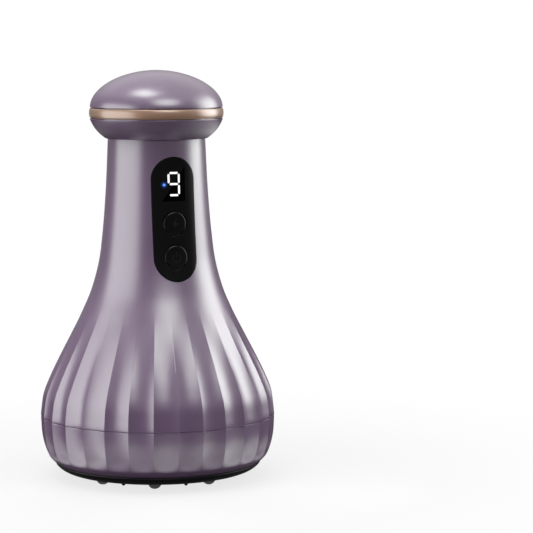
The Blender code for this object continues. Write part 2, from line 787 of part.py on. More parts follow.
def build_base(materials, body):
    """The black ring round the face plate, and the board that the beads reach into."""
    inner = FACE_RADIUS + GAP
    top = FACE_Z + BASE_RING_HEIGHT
    rebate_radius = FACE_RADIUS - FACE_REBATE_WIDTH
    lip_low = FACE_TOP - FACE_REBATE_DEPTH + GAP
    outline = [(inner, FACE_Z)]
    for across, up in BASE_RING_SHARES:
        outline.append((inner + BASE_RING_WIDTH * across, FACE_Z + BASE_RING_HEIGHT * up))
    outline += [(rebate_radius + GAP, top), (rebate_radius + GAP, lip_low), (inner, lip_low)]
    make_piece("base_ring", turned(outline, BODY_SIDES),
               material=materials["ring_black"], parent=body)

    board_top = ELECTRODE_BOARD_Z + BOARD_THICK
    board = make_piece("electrode_board", turned(
        annulus(LINER_RADIUS + 2 * GAP, rebate_radius - 2 * GAP, ELECTRODE_BOARD_Z, board_top),
        CUP_SIDES), material=materials["board_green"], parent=body)
    span = (ELECTRODE_BOARD_Z - OVERRUN, board_top + OVERRUN)
    cut_shapes(board, "board_holes",
               *drill(bead_places(), BEAD_SHANK_RADIUS + GAP, *span),
               *drill(face_screw_places(), BOSS_RADIUS + GAP, *span))


def build_lower_shell(materials, body):
    """The fluted ring under the seam, with the floor that everything is clamped to."""
    top = SEAM_Z - GAP / 2
    tongue_top = top + TONGUE_HEIGHT
    post_reach = POST_CIRCLE + POST_RADIUS + 2 * GAP
    rows = [fluted_points(SHELL_FOOT_Z + SEAM_RISE * share) for share in LOWER_ROW_SHARES]
    rows.append(fluted_points(top))
    section = (
        (TONGUE_RADIUS, top),
        (TONGUE_RADIUS, tongue_top),
        (TONGUE_RADIUS - TONGUE_WIDTH, tongue_top),
        (TONGUE_RADIUS - TONGUE_WIDTH, (FLOOR_TOP + SEAM_Z) / 2),
        (post_reach, FLOOR_TOP),
        (LINER_RADIUS + GAP, FLOOR_TOP),
        (LINER_RADIUS + GAP, FLOOR_Z),
        (FLOOR_STEP_RADIUS, FLOOR_Z),
        (FLOOR_STEP_RADIUS, SHELL_FOOT_Z),
    )
    rows += [circle_points(radius, height, BODY_SIDES) for radius, height in section]
    shell = make_piece("lower_shell", closed_rows(rows),
                       material=materials["pearl_purple"], parent=body)
    counterbore = [
        (0, SHELL_FOOT_Z - OVERRUN),
        (SCREW_HEAD_RADIUS + GAP, SHELL_FOOT_Z - OVERRUN),
        (SCREW_HEAD_RADIUS + GAP, SHELL_SCREW_SEAT),
        (SCREW_RADIUS + GAP, SHELL_SCREW_SEAT),
        (SCREW_RADIUS + GAP, FLOOR_TOP + OVERRUN),
        (0, FLOOR_TOP + OVERRUN),
    ]
    cut_shapes(shell, "floor_holes",
               *drill(face_screw_places(), SCREW_RADIUS + GAP, FLOOR_Z - OVERRUN,
                      FLOOR_TOP + OVERRUN),
               *[turned(counterbore, SCREW_SIDES, at=place) for place in shell_screw_places()])


def build_upper_shell(materials, body):
    """The fluted bell and the neck in one moulding, with its screw posts and recesses."""
    foot = SEAM_Z + GAP / 2
    rebate = TONGUE_RADIUS + GAP
    rebate_top = SEAM_Z + TONGUE_HEIGHT + GAP
    rows = [fluted_points(foot)]
    rows += [fluted_points(body_height(share)) for share in FLUTED_ROW_SHARES]
    rows += [neck_points(share, 0) for share in NECK_ROW_SHARES]
    for share in INNER_ROW_SHARES:
        rows.append(neck_points(share, -SHELL_WALL - flute_depth(body_height(share))))
    for radius, height in ((rebate - TONGUE_WIDTH, rebate_top), (rebate, rebate_top), (rebate, foot)):
        rows.append(circle_points(radius, height, BODY_SIDES))
    shell = make_piece("upper_shell", closed_rows(rows),
                       material=materials["pearl_purple"], parent=body)

    post_low = FLOOR_TOP + GAP
    post_high = post_low + POST_HEIGHT
    hole_top = post_low + SHELL_SCREW_LENGTH
    post = [
        (0, hole_top),
        (SCREW_RADIUS + GAP, hole_top),
        (SCREW_RADIUS + GAP, post_low),
        (POST_RADIUS, post_low),
        (POST_RADIUS, post_high),
        (0, post_high),
    ]
    near = POST_CIRCLE + POST_RADIUS / 2
    far = body_radius(post_high) - FLUTE_DEPTH - SHELL_WALL * WEB_BITE_SHARE
    half = POST_WEB_WIDTH / 2
    plan = [(near, -half), (far, -half), (far, half), (near, half)]
    span = (post_high - POST_WEB_HEIGHT, post_high - GAP)
    add_shapes(shell, "screw_posts",
               *[turned(post, SCREW_SIDES, at=place) for place in shell_screw_places()])
    add_shapes(shell, "post_webs",
               *[prism(plan, *span, turn=turn_outwards(place)) for place in shell_screw_places()])

    recess = make_piece(
        "plate_recesses",
        plate_prism(PANEL_WIDTH + 2 * GAP, PANEL_Z - GAP, PANEL_TOP + GAP, -1),
        plate_prism(BADGE_WIDTH + 2 * GAP, BADGE_Z - GAP, BADGE_TOP + GAP, 1))
    combine(recess, "INTERSECT", neck_layer("recess_layer", -PLATE_THICK - GAP, OVERRUN))
    combine(shell, "DIFFERENCE", recess)

    reach = body_radius(PANEL_Z) + OVERRUN
    window_half = LED_PIPE_SHIFT + LED_PIPE_RADIUS + GAP
    port = stadium(2 * (PORT_HALF_WIDTH + GAP), PORT_HEIGHT + 2 * GAP, PORT_ARC_POINTS)
    cut_shapes(
        shell, "neck_holes",
        rod(BUTTON_HOLE_RADIUS, (0, BOARD_FACE_Y, MODE_Z), (0, -reach, MODE_Z)),
        rod(BUTTON_HOLE_RADIUS, (0, BOARD_FACE_Y, POWER_Z), (0, -reach, POWER_Z)),
        block((-window_half, -reach, DIGIT_Z - WINDOW_HALF_HEIGHT),
              (window_half, BOARD_FACE_Y, DIGIT_Z + WINDOW_HALF_HEIGHT)),
        prism(port, -body_radius(PORT_Z) - OVERRUN, -NECK_BORE, turn=facing_turn(PORT_Z)))


def build_screws(materials, body):
    """The screws through the floor: some into the shell's posts, some into the face plate."""
    length = FLOOR_TOP - SHELL_SCREW_SEAT + SHELL_SCREW_LENGTH - GAP
    for index, place in enumerate(shell_screw_places()):
        screw = turned(screw_outline(length), SCREW_SIDES)
        bmesh.ops.transform(screw, matrix=Matrix.Rotation(math.pi, 4, "X"), verts=screw.verts)
        make_piece("shell_screw_%d" % (index + 1), screw,
                   place=place + Vector((0, 0, SHELL_SCREW_SEAT - GAP)),
                   material=materials["screw_steel"], parent=body)
    seat = LINER_FLANGE_TOP + GAP
    length = seat - FACE_TOP + FACE_SCREW_BITE
    for index, place in enumerate(face_screw_places()):
        make_piece("face_screw_%d" % (index + 1), turned(screw_outline(length), SCREW_SIDES),
                   place=place + Vector((0, 0, seat)),
                   material=materials["screw_steel"], parent=body)


def build_cup(materials, body):
    """The suction cup: its liner, gasket, window, lamp board and suction elbow."""
    flange_radius = LINER_RADIUS + LINER_FLANGE_WIDTH
    liner_foot = FLOOR_Z - GAP
    liner = make_piece("cup_liner", turned([
        (LINER_BORE, liner_foot),
        (LINER_RADIUS, liner_foot),
        (LINER_RADIUS, LINER_FLANGE_Z),
        (flange_radius, LINER_FLANGE_Z),
        (flange_radius, LINER_FLANGE_TOP),
        (LINER_RADIUS, LINER_FLANGE_TOP),
        (LINER_RADIUS, LINER_TOP),
        (LINER_BORE, LINER_TOP),
        (LINER_BORE, LEDGE_Z + LEDGE_THICK),
        (LINER_BORE - LEDGE_WIDTH, LEDGE_Z + LEDGE_THICK),
        (LINER_BORE - LEDGE_WIDTH, LEDGE_Z),
        (LINER_BORE, LEDGE_Z),
    ], CUP_SIDES), material=materials["cup_black"], parent=body)
    elbow_z = LEDGE_Z - ELBOW_DROP
    cut_shapes(liner, "liner_holes",
               rod(BARB_RADIUS + GAP, (LINER_BORE - OVERRUN, 0, elbow_z),
                   (LINER_RADIUS + OVERRUN, 0, elbow_z), SCREW_SIDES),
               *drill(face_screw_places(), SCREW_RADIUS + GAP, LINER_FLANGE_Z - OVERRUN,
                      LINER_FLANGE_TOP + OVERRUN))

    seal = annulus(LINER_BORE + GAP, LINER_BORE + SEAL_WIDTH, FACE_TOP + GAP, liner_foot - GAP)
    make_piece("mouth_seal", turned(seal, CUP_SIDES),
               material=materials["seal_rubber"], parent=body)
    window = disc(LINER_BORE - GAP, WINDOW_Z, WINDOW_Z + WINDOW_THICK)
    make_piece("cup_window", turned(window, CUP_SIDES),
               material=materials["window_smoke"], parent=body)
    board = disc(LINER_BORE - GAP, LIGHT_BOARD_Z, LIGHT_BOARD_Z + BOARD_THICK)
    lamps = make_piece("light_board", turned(board, CUP_SIDES),
                       material=materials["board_green"], parent=body)
    low = Vector((-LED_SIDE / 2, -LED_SIDE / 2, -LED_HEIGHT))
    high = Vector((LED_SIDE / 2, LED_SIDE / 2, BOARD_THICK / 2))
    places = [around(LED_CIRCLE, 360.0 / LED_COUNT * n, LIGHT_BOARD_Z) for n in range(LED_COUNT)]
    add_shapes(lamps, "cup_lamps", *[block(place + low, place + high) for place in places])

    bend = 2 * BARB_RADIUS
    turn_x = LINER_RADIUS + ELBOW_REACH
    elbow = make_piece("suction_elbow", swept([
        (LINER_BORE + GAP, 0, elbow_z),
        (turn_x - bend, 0, elbow_z),
        (turn_x, 0, elbow_z + bend),
        (turn_x, 0, elbow_z + BARB_LENGTH),
    ], BARB_RADIUS, bore=BARB_BORE), material=materials["fitting_white"], parent=body)
    collar = turned(
        annulus((BARB_RADIUS + BARB_BORE) / 2, BARB_RADIUS + ELBOW_COLLAR, 0, ELBOW_COLLAR),
        SCREW_SIDES)
    turn = Matrix.Translation((LINER_RADIUS + GAP, 0, elbow_z)) @ Matrix.Rotation(
        math.pi / 2, 4, "Y")
    bmesh.ops.transform(collar, matrix=turn, verts=collar.verts)
    add_shapes(elbow, "elbow_collar", collar)


def build_motor(materials, body, spinner):
    """The pump's motor on its bracket, in a soft sleeve, with its rotor and eccentric."""
    skirt_inner = LINER_RADIUS + GAP
    collar_inner = MOTOR_RADIUS + 2 * GAP + SLEEVE_WALL
    collar_top = BRACKET_TOP + SLEEVE_HEIGHT
    make_piece("pump_bracket", turned([
        (0, BRACKET_Z),
        (skirt_inner, BRACKET_Z),
        (skirt_inner, BRACKET_Z - BRACKET_SKIRT),
        (skirt_inner + BRACKET_WALL, BRACKET_Z - BRACKET_SKIRT),
        (skirt_inner + BRACKET_WALL, BRACKET_TOP),
        (collar_inner + BRACKET_WALL, BRACKET_TOP),
        (collar_inner + BRACKET_WALL, collar_top),
        (collar_inner, collar_top),
        (collar_inner, BRACKET_TOP),
        (0, BRACKET_TOP),
    ], PUMP_SIDES), material=materials["frame_grey"], parent=body)
    sleeve = annulus(MOTOR_RADIUS + GAP, collar_inner - GAP, BRACKET_TOP + GAP, collar_top)
    make_piece("pump_sleeve", turned(sleeve, PUMP_SIDES),
               material=materials["seal_rubber"], parent=body)

    inside = MOTOR_RADIUS - MOTOR_WALL
    shaft_hole = SHAFT_RADIUS + GAP
    make_piece("motor_can", turned([
        (0, MOTOR_Z),
        (MOTOR_RADIUS, MOTOR_Z),
        (MOTOR_RADIUS, MOTOR_TOP),
        (shaft_hole, MOTOR_TOP),
        (shaft_hole, MOTOR_TOP - MOTOR_WALL),
        (inside, MOTOR_TOP - MOTOR_WALL),
        (inside, MOTOR_Z + MOTOR_WALL),
        (0, MOTOR_Z + MOTOR_WALL),
    ], PUMP_SIDES), material=materials["motor_steel"], parent=body)
    middle = (MOTOR_Z + MOTOR_TOP) / 2
    magnet_inner = inside - GAP - MAGNET_WALL
    half = MAGNET_LENGTH / 2
    magnet = annulus(magnet_inner, inside - GAP, middle - half, middle + half)
    make_piece("motor_magnet", turned(magnet, PUMP_SIDES),
               material=materials["magnet_grey"], parent=body)

    core = magnet_inner - GAP
    half = ROTOR_LENGTH / 2
    shaft_foot = MOTOR_Z + MOTOR_WALL + GAP
    shaft_top = MOTOR_TOP + SHAFT_STANDOUT
    origin = spinner.location
    rotor = [
        (0, shaft_foot),
        (SHAFT_RADIUS, shaft_foot),
        (SHAFT_RADIUS, middle - half),
        (core, middle - half),
        (core, middle + half),
        (SHAFT_RADIUS, middle + half),
        (SHAFT_RADIUS, shaft_top),
        (0, shaft_top),
    ]
    make_piece("pump_rotor", turned([(r, z - origin.z) for r, z in rotor], SMALL_SIDES),
               place=origin, material=materials["motor_steel"], parent=spinner)
    low = (CRANKCASE_Z + shaft_top - ECCENTRIC_LENGTH) / 2 - origin.z
    high = low + ECCENTRIC_LENGTH
    eccentric = make_piece("pump_eccentric", turned(
        disc(ECCENTRIC_RADIUS, low, high), SMALL_SIDES, at=(ECCENTRIC_OFFSET, 0, 0)),
        place=origin, material=materials["brass"], parent=spinner)
    bore = make_piece("eccentric_bore", turned(
        disc(SHAFT_RADIUS + GAP, low - OVERRUN, high + OVERRUN), SCREW_SIDES), place=origin)
    combine(eccentric, "DIFFERENCE", bore)


def build_pump(materials, body):
    """The pump's head over the motor: crankcase, diaphragm and valve cap with two nozzles."""
    crankcase = annulus(PUMP_RADIUS - BRACKET_WALL, PUMP_RADIUS, CRANKCASE_Z,
                        CRANKCASE_Z + CRANKCASE_LENGTH)
    make_piece("pump_crankcase", turned(crankcase, PUMP_SIDES),
               material=materials["pump_black"], parent=body)
    boss_low = max(DIAPHRAGM_Z - DIAPHRAGM_BOSS_DEPTH, MOTOR_TOP + SHAFT_STANDOUT + GAP)
    make_piece("pump_diaphragm", turned([
        (0, boss_low),
        (DIAPHRAGM_BOSS_RADIUS, boss_low),
        (DIAPHRAGM_BOSS_RADIUS, DIAPHRAGM_Z),
        (PUMP_RADIUS, DIAPHRAGM_Z),
        (PUMP_RADIUS, DIAPHRAGM_Z + DIAPHRAGM_THICK),
        (0, DIAPHRAGM_Z + DIAPHRAGM_THICK),
    ], PUMP_SIDES), material=materials["seal_rubber"], parent=body)
    cap = make_piece("pump_valve_cap", turned(disc(PUMP_RADIUS, PUMP_CAP_Z, PUMP_TOP), PUMP_SIDES),
                     material=materials["pump_black"], parent=body)
    reach = PUMP_RADIUS + NOZZLE_LENGTH
    add_shapes(cap, "pump_nozzles",
               rod(BARB_RADIUS, (-reach, 0, NOZZLE_Z), (reach, 0, NOZZLE_Z), SCREW_SIDES))
    cut_shapes(cap, "nozzle_bores", *[
        rod(BARB_BORE, (side * PUMP_RADIUS / 2, 0, NOZZLE_Z),
            (side * (reach + OVERRUN), 0, NOZZLE_Z), TUBE_SIDES) for side in (-1, 1)])


def build_air_line(materials, body):
    """The manifold on the pump's inlet, its pressure sensor and the two hoses."""
    near = PUMP_RADIUS + NOZZLE_LENGTH - MANIFOLD_SOCKET + GAP
    far = near + MANIFOLD_DEPTH
    low = NOZZLE_Z - MANIFOLD_HEIGHT * MANIFOLD_DROP_SHARE
    high = low + MANIFOLD_HEIGHT
    half = MANIFOLD_WIDTH / 2
    barb_x = far - MANIFOLD_SOCKET
    foot, tip = low - BARB_LENGTH, high + BARB_LENGTH
    manifold = make_piece("air_manifold", block((near, -half, low), (far, half, high)),
                          material=materials["fitting_white"], parent=body)
    add_shapes(manifold, "manifold_barbs",
               rod(BARB_RADIUS, (barb_x, 0, foot), (barb_x, 0, tip), SCREW_SIDES))
    cut_shapes(manifold, "manifold_bore",
               rod(BARB_BORE, (barb_x, 0, foot - OVERRUN), (barb_x, 0, tip + OVERRUN), TUBE_SIDES))
    cut_shapes(manifold, "manifold_socket",
               rod(BARB_RADIUS + GAP, (near - OVERRUN, 0, NOZZLE_Z),
                   (barb_x, 0, NOZZLE_Z), SCREW_SIDES))
    side = SENSOR_SIDE / 2
    make_piece("pressure_sensor", block(
        (near + GAP, half + GAP, NOZZLE_Z - side),
        (near + GAP + SENSOR_SIDE, half + GAP + SENSOR_DEPTH, NOZZLE_Z + side)),
        material=materials["chip_black"], parent=body)

    elbow_x = LINER_RADIUS + ELBOW_REACH
    start = LEDGE_Z - ELBOW_DROP + BARB_LENGTH + GAP
    run_x, rise = barb_x - elbow_x, foot - GAP - start
    route = [(elbow_x + run_x * x, 0, start + rise * z) for x, z in CUP_HOSE_SHARES]
    make_piece("cup_hose", swept(smooth_path(route, HOSE_STEPS), HOSE_RADIUS, bore=HOSE_BORE),
               material=materials["hose_silicone"], parent=body)

    start = tip + GAP
    run_x, run_y = VALVE_LUG_REACH - barb_x, -VALVE_LUG_TURN
    rise = VALVE_BARB_Z - GAP - start
    route = [(barb_x + run_x * x, run_y * y, start + rise * z) for x, y, z in VALVE_HOSE_SHARES]
    make_piece("valve_hose", swept(smooth_path(route, HOSE_STEPS), HOSE_RADIUS, bore=HOSE_BORE),
               material=materials["hose_silicone"], parent=body)

    start = BOARD_FACE_Y + BOARD_THICK / 2
    run_y = -PUMP_RADIUS - 2 * LEAD_RADIUS - start
    top = MAIN_BOARD_Z - GAP
    drop = top - MOTOR_TOP + MOTOR_LENGTH / 4
    route = [(0, start + run_y * y, top - drop * z) for y, z in LEAD_SHARES]
    route.append((0, -MOTOR_RADIUS - LEAD_RADIUS - GAP, top - drop))
    make_piece("motor_lead", swept(smooth_path(route, HOSE_STEPS), LEAD_RADIUS),
               material=materials["lead_red"], parent=body)


def channel_outline(half, front):
    """The plan of one side of a channel: straight walls and a round back."""
    points = [(half, -front)]
    for index in range(CHANNEL_ARC_POINTS + 1):
        angle = math.pi * index / CHANNEL_ARC_POINTS
        points.append((half * math.cos(angle), CELL_SETBACK + half * math.sin(angle)))
    points.append((-half, -front))
    return points


def build_battery(materials, body):
    """The round cell in its channel-shaped holder, which stands on the pump."""
    inner = CELL_RADIUS + GAP
    plan = channel_outline(HOLDER_HALF, HOLDER_FRONT)
    plan += reversed(channel_outline(inner, HOLDER_FRONT))
    holder = make_piece("battery_holder", prism(plan, HOLDER_Z, HOLDER_TOP),
                        material=materials["frame_grey"], parent=body)
    floor = channel_outline(inner + HOLDER_WALL / 2, HOLDER_FLOOR_FRONT)
    add_shapes(holder, "holder_floor", prism(floor, HOLDER_FLOOR_Z, HOLDER_FLOOR_Z + HOLDER_WALL))
    cell_top = CELL_Z + CELL_LENGTH
    tip_top = cell_top + CELL_TIP_HEIGHT / 2
    cell = [
        (0, CELL_Z),
        (CELL_RADIUS, CELL_Z),
        (CELL_RADIUS, cell_top),
        (CELL_TIP_RADIUS, cell_top),
        (CELL_TIP_RADIUS, tip_top),
        (0, tip_top),
    ]
    make_piece("battery_cell", turned(cell, PUMP_SIDES), place=(0, CELL_SETBACK, 0),
               material=materials["cell_blue"], parent=body)


def build_electronics(materials, body):
    """The main board with its display, status lamp and the two switches."""
    board = block(
        (-MAIN_BOARD_HALF_WIDTH, BOARD_FACE_Y, MAIN_BOARD_Z),
        (MAIN_BOARD_HALF_WIDTH, BOARD_FACE_Y + BOARD_THICK, PANEL_TOP - MAIN_BOARD_MARGIN))
    make_piece("main_board", board, material=materials["board_green"], parent=body)
    seat = BOARD_FACE_Y - GAP
    top = DIGIT_Z + DISPLAY_HALF_HEIGHT
    plate_back = body_radius(top) - PLATE_THICK
    front = 2 * GAP - math.sqrt(plate_back ** 2 - (LED_PIPE_SHIFT + LED_PIPE_RADIUS) ** 2)
    display = block((-DISPLAY_HALF_WIDTH, front, DIGIT_Z - DISPLAY_HALF_HEIGHT),
                    (DISPLAY_HALF_WIDTH, seat, top))
    make_piece("display_module", display, material=materials["display_dark"], parent=body)
    lamp_z = DIGIT_Z - LED_PIPE_DROP
    lamp = rod(LED_PIPE_RADIUS, (-LED_PIPE_SHIFT, seat, lamp_z), (-LED_PIPE_SHIFT, front, lamp_z),
               TUBE_SIDES)
    make_piece("status_lamp", lamp, material=materials["lamp_blue"], parent=body)
    half = SWITCH_SIDE / 2
    for name, height in (("mode", MODE_Z), ("power", POWER_Z)):
        base = block((-half, seat - SWITCH_HEIGHT, height - half), (half, seat, height + half))
        switch = make_piece(name + "_switch", base, material=materials["motor_steel"], parent=body)
        add_shapes(switch, name + "_switch_tip", rod(
            SWITCH_TIP_RADIUS, (0, seat - SWITCH_HEIGHT / 2, height),
            (0, seat - SWITCH_HEIGHT - SWITCH_TIP, height), TUBE_SIDES))


def build_button(name, height, materials, carrier):
    """A push button: a cap flush with the panel, a flange behind it and a stem to its switch."""
    stem_end = GAP + SWITCH_HEIGHT + SWITCH_TIP + BUTTON_TRAVEL + BUTTON_CLEAR - BOARD_FACE_Y
    flange_radius = BUTTON_RADIUS + BUTTON_FLANGE
    back = body_radius(height) - PLATE_THICK
    back_above = body_radius(height + flange_radius) - PLATE_THICK
    flange_front = min(math.sqrt(back ** 2 - flange_radius ** 2), back_above) - GAP
    flange_back = flange_front - BUTTON_FLANGE_THICK
    reach = body_radius(height - BUTTON_RADIUS) + OVERRUN
    cap = turned([
        (0, stem_end),
        (BUTTON_STEM_RADIUS, stem_end),
        (BUTTON_STEM_RADIUS, flange_back),
        (flange_radius, flange_back),
        (flange_radius, flange_front),
        (BUTTON_RADIUS, flange_front),
        (BUTTON_RADIUS, reach),
        (0, reach),
    ], SMALL_SIDES, at=(0, 0, 0))
    bmesh.ops.transform(cap, matrix=Matrix.Rotation(math.pi / 2, 4, "X"), verts=cap.verts)
    button = make_piece(name, cap, place=(0, 0, height), material=materials["button_black"],
                        parent=carrier)
    neck = [[(0, 0, body_height(NECK_ROW_SHARES[0]))]]
    neck += [neck_points(share, 0) for share in NECK_ROW_SHARES]
    neck.append([(0, 0, body_height(NECK_ROW_SHARES[-1]))])
    combine(button, "INTERSECT", make_piece(name + "_neck", closed_rows(neck)))


def build_plates(materials, body):
    """The black control panel at the front and the bare rose gold badge at the back."""
    panel = make_piece("control_panel", plate_prism(PANEL_WIDTH, PANEL_Z, PANEL_TOP, -1),
                       material=materials["panel_black"], parent=body)
    combine(panel, "INTERSECT", neck_layer("panel_layer", -PLATE_THICK, 0))
    reach = body_radius(PANEL_Z) + OVERRUN
    cut_shapes(panel, "panel_holes", *[
        rod(BUTTON_RADIUS + GAP, (0, BOARD_FACE_Y, height), (0, -reach, height))
        for height in (MODE_Z, POWER_Z)])
    badge = make_piece("back_badge", plate_prism(BADGE_WIDTH, BADGE_Z, BADGE_TOP, 1),
                       material=materials["rose_gold"], parent=body)
    combine(badge, "INTERSECT", neck_layer("badge_layer", -PLATE_THICK, 0))


def build_port(materials, body):
    """The charging socket at the back, with its tongue, on a small board."""
    mouth = math.sqrt(body_radius(PORT_Z + PORT_HEIGHT / 2) ** 2 - PORT_HALF_WIDTH ** 2) - PORT_SINK
    port = make_piece("charging_port", prism(
        stadium(2 * PORT_HALF_WIDTH, PORT_HEIGHT, PORT_ARC_POINTS), -mouth, PORT_LENGTH - mouth,
        turn=facing_turn(PORT_Z)), material=materials["motor_steel"], parent=body)
    cavity = stadium(2 * (PORT_HALF_WIDTH - PORT_WALL), PORT_HEIGHT - 2 * PORT_WALL, PORT_ARC_POINTS)
    cut_shapes(port, "port_cavity", prism(
        cavity, -mouth - OVERRUN, PORT_LENGTH - PORT_BACK - mouth, turn=facing_turn(PORT_Z)))
    half = PORT_TONGUE_HEIGHT / 2
    add_shapes(port, "port_tongue", block(
        (-PORT_TONGUE_HALF_WIDTH, mouth - PORT_LENGTH + PORT_BACK / 2, PORT_Z - half),
        (PORT_TONGUE_HALF_WIDTH, mouth - PORT_BACK / 2, PORT_Z + half)))
    board_top = PORT_Z - PORT_HEIGHT / 2 - GAP
    board_back = mouth - PORT_LENGTH - GAP
    make_piece("charging_board", block(
        (-PORT_BOARD_HALF_WIDTH, board_back, board_top - BOARD_THICK),
        (PORT_BOARD_HALF_WIDTH, board_back + PORT_BOARD_LENGTH, board_top)),
        material=materials["board_green"], parent=body)


def build_valve(materials, body):
    """The cap that closes the neck, and the vent valve's body with its hose barb."""
    flange_top = CAP_FLANGE_Z + CAP_FLANGE_THICK
    make_piece("neck_cap", turned([
        (VALVE_BORE, VALVE_SEAT_Z),
        (CAP_BOSS_RADIUS, VALVE_SEAT_Z),
        (CAP_BOSS_RADIUS, CAP_PLUG_Z),
        (NECK_BORE - 2 * GAP, CAP_PLUG_Z),
        (NECK_BORE - 2 * GAP, CAP_FLANGE_Z),
        (CAP_FLANGE_RADIUS, CAP_FLANGE_Z),
        (CAP_FLANGE_RADIUS, flange_top),
        (VALVE_BORE, flange_top),
    ], PUMP_SIDES), material=materials["frame_grey"], parent=body)

    chamber = CAP_BOSS_RADIUS + GAP
    valve_top = VALVE_Z + VALVE_LENGTH
    valve = make_piece("valve_body", turned([
        (0, VALVE_Z),
        (chamber + VALVE_WALL, VALVE_Z),
        (chamber + VALVE_WALL, valve_top),
        (chamber, valve_top),
        (chamber, VALVE_Z + VALVE_WALL),
        (0, VALVE_Z + VALVE_WALL),
    ], SMALL_SIDES), material=materials["fitting_white"], parent=body)
    place = Vector((VALVE_LUG_REACH, -VALVE_LUG_TURN, 0))
    lug_high = VALVE_Z + VALVE_LUG_HEIGHT
    near, far, half = chamber + VALVE_WALL / 2, place.length + VALVE_LUG_RADIUS, VALVE_LUG_RADIUS
    lug = [(near, -half), (far, -half), (far, half), (near, half)]
    add_shapes(valve, "valve_lug", prism(lug, VALVE_Z + GAP, lug_high, turn=turn_outwards(place)))
    add_shapes(valve, "valve_barb",
               turned(disc(BARB_RADIUS, VALVE_BARB_Z, VALVE_Z + 2 * GAP), SCREW_SIDES, at=place))
    level = (VALVE_Z + lug_high) / 2
    inlet = place.normalized() * chamber * WEB_BITE_SHARE
    cut_shapes(valve, "valve_bore", swept([
        (inlet.x, inlet.y, level),
        (place.x - BARB_BORE, place.y, level),
        (place.x, place.y, level - BARB_BORE),
        (place.x, place.y, VALVE_BARB_Z - OVERRUN),
    ], BARB_BORE))


def build_plunger(materials, body, knob):
    """What the knob pushes: the plunger with its seal and retainer, over the return spring."""
    origin = knob.location
    seal_top = VALVE_SEAT_Z - GAP - origin.z
    seal_low = seal_top - VALVE_SEAL_THICK
    seal = annulus(ROD_RADIUS + GAP, ROD_RADIUS + GAP + VALVE_SEAL_WIDTH, seal_low, seal_top)
    make_piece("valve_seal", turned(seal, SMALL_SIDES), place=origin,
               material=materials["seal_rubber"], parent=knob)
    poppet_top = seal_low - GAP
    rod_top = DOME_BOSS_Z + DOME_BOSS_DEPTH / 2 - origin.z
    make_piece("valve_plunger", turned([
        (0, poppet_top - POPPET_THICK),
        (POPPET_RADIUS, poppet_top - POPPET_THICK),
        (POPPET_RADIUS, poppet_top),
        (ROD_RADIUS, poppet_top),
        (ROD_RADIUS, rod_top),
        (0, rod_top),
    ], SMALL_SIDES), place=origin, material=materials["bead_steel"], parent=knob)
    retainer_top = DOME_BOSS_Z - GAP
    retainer_low = retainer_top - RETAINER_THICK
    retainer = annulus(ROD_RADIUS + GAP, RETAINER_RADIUS, retainer_low - origin.z,
                       retainer_top - origin.z)
    make_piece("spring_retainer", turned(retainer, SMALL_SIDES), place=origin,
               material=materials["screw_steel"], parent=knob)
    low = CAP_FLANGE_Z + CAP_FLANGE_THICK + GAP + SPRING_WIRE
    rise = retainer_low - GAP - SPRING_WIRE - low
    count = SPRING_TURNS * SPRING_POINTS
    coil = []
    for index in range(count + 1):
        share = index / count
        coil.append(around(SPRING_RADIUS, 360.0 * SPRING_TURNS * share, low + rise * share))
    make_piece("knob_spring", swept(coil, SPRING_WIRE, SPRING_SIDES),
               material=materials["screw_steel"], parent=body)


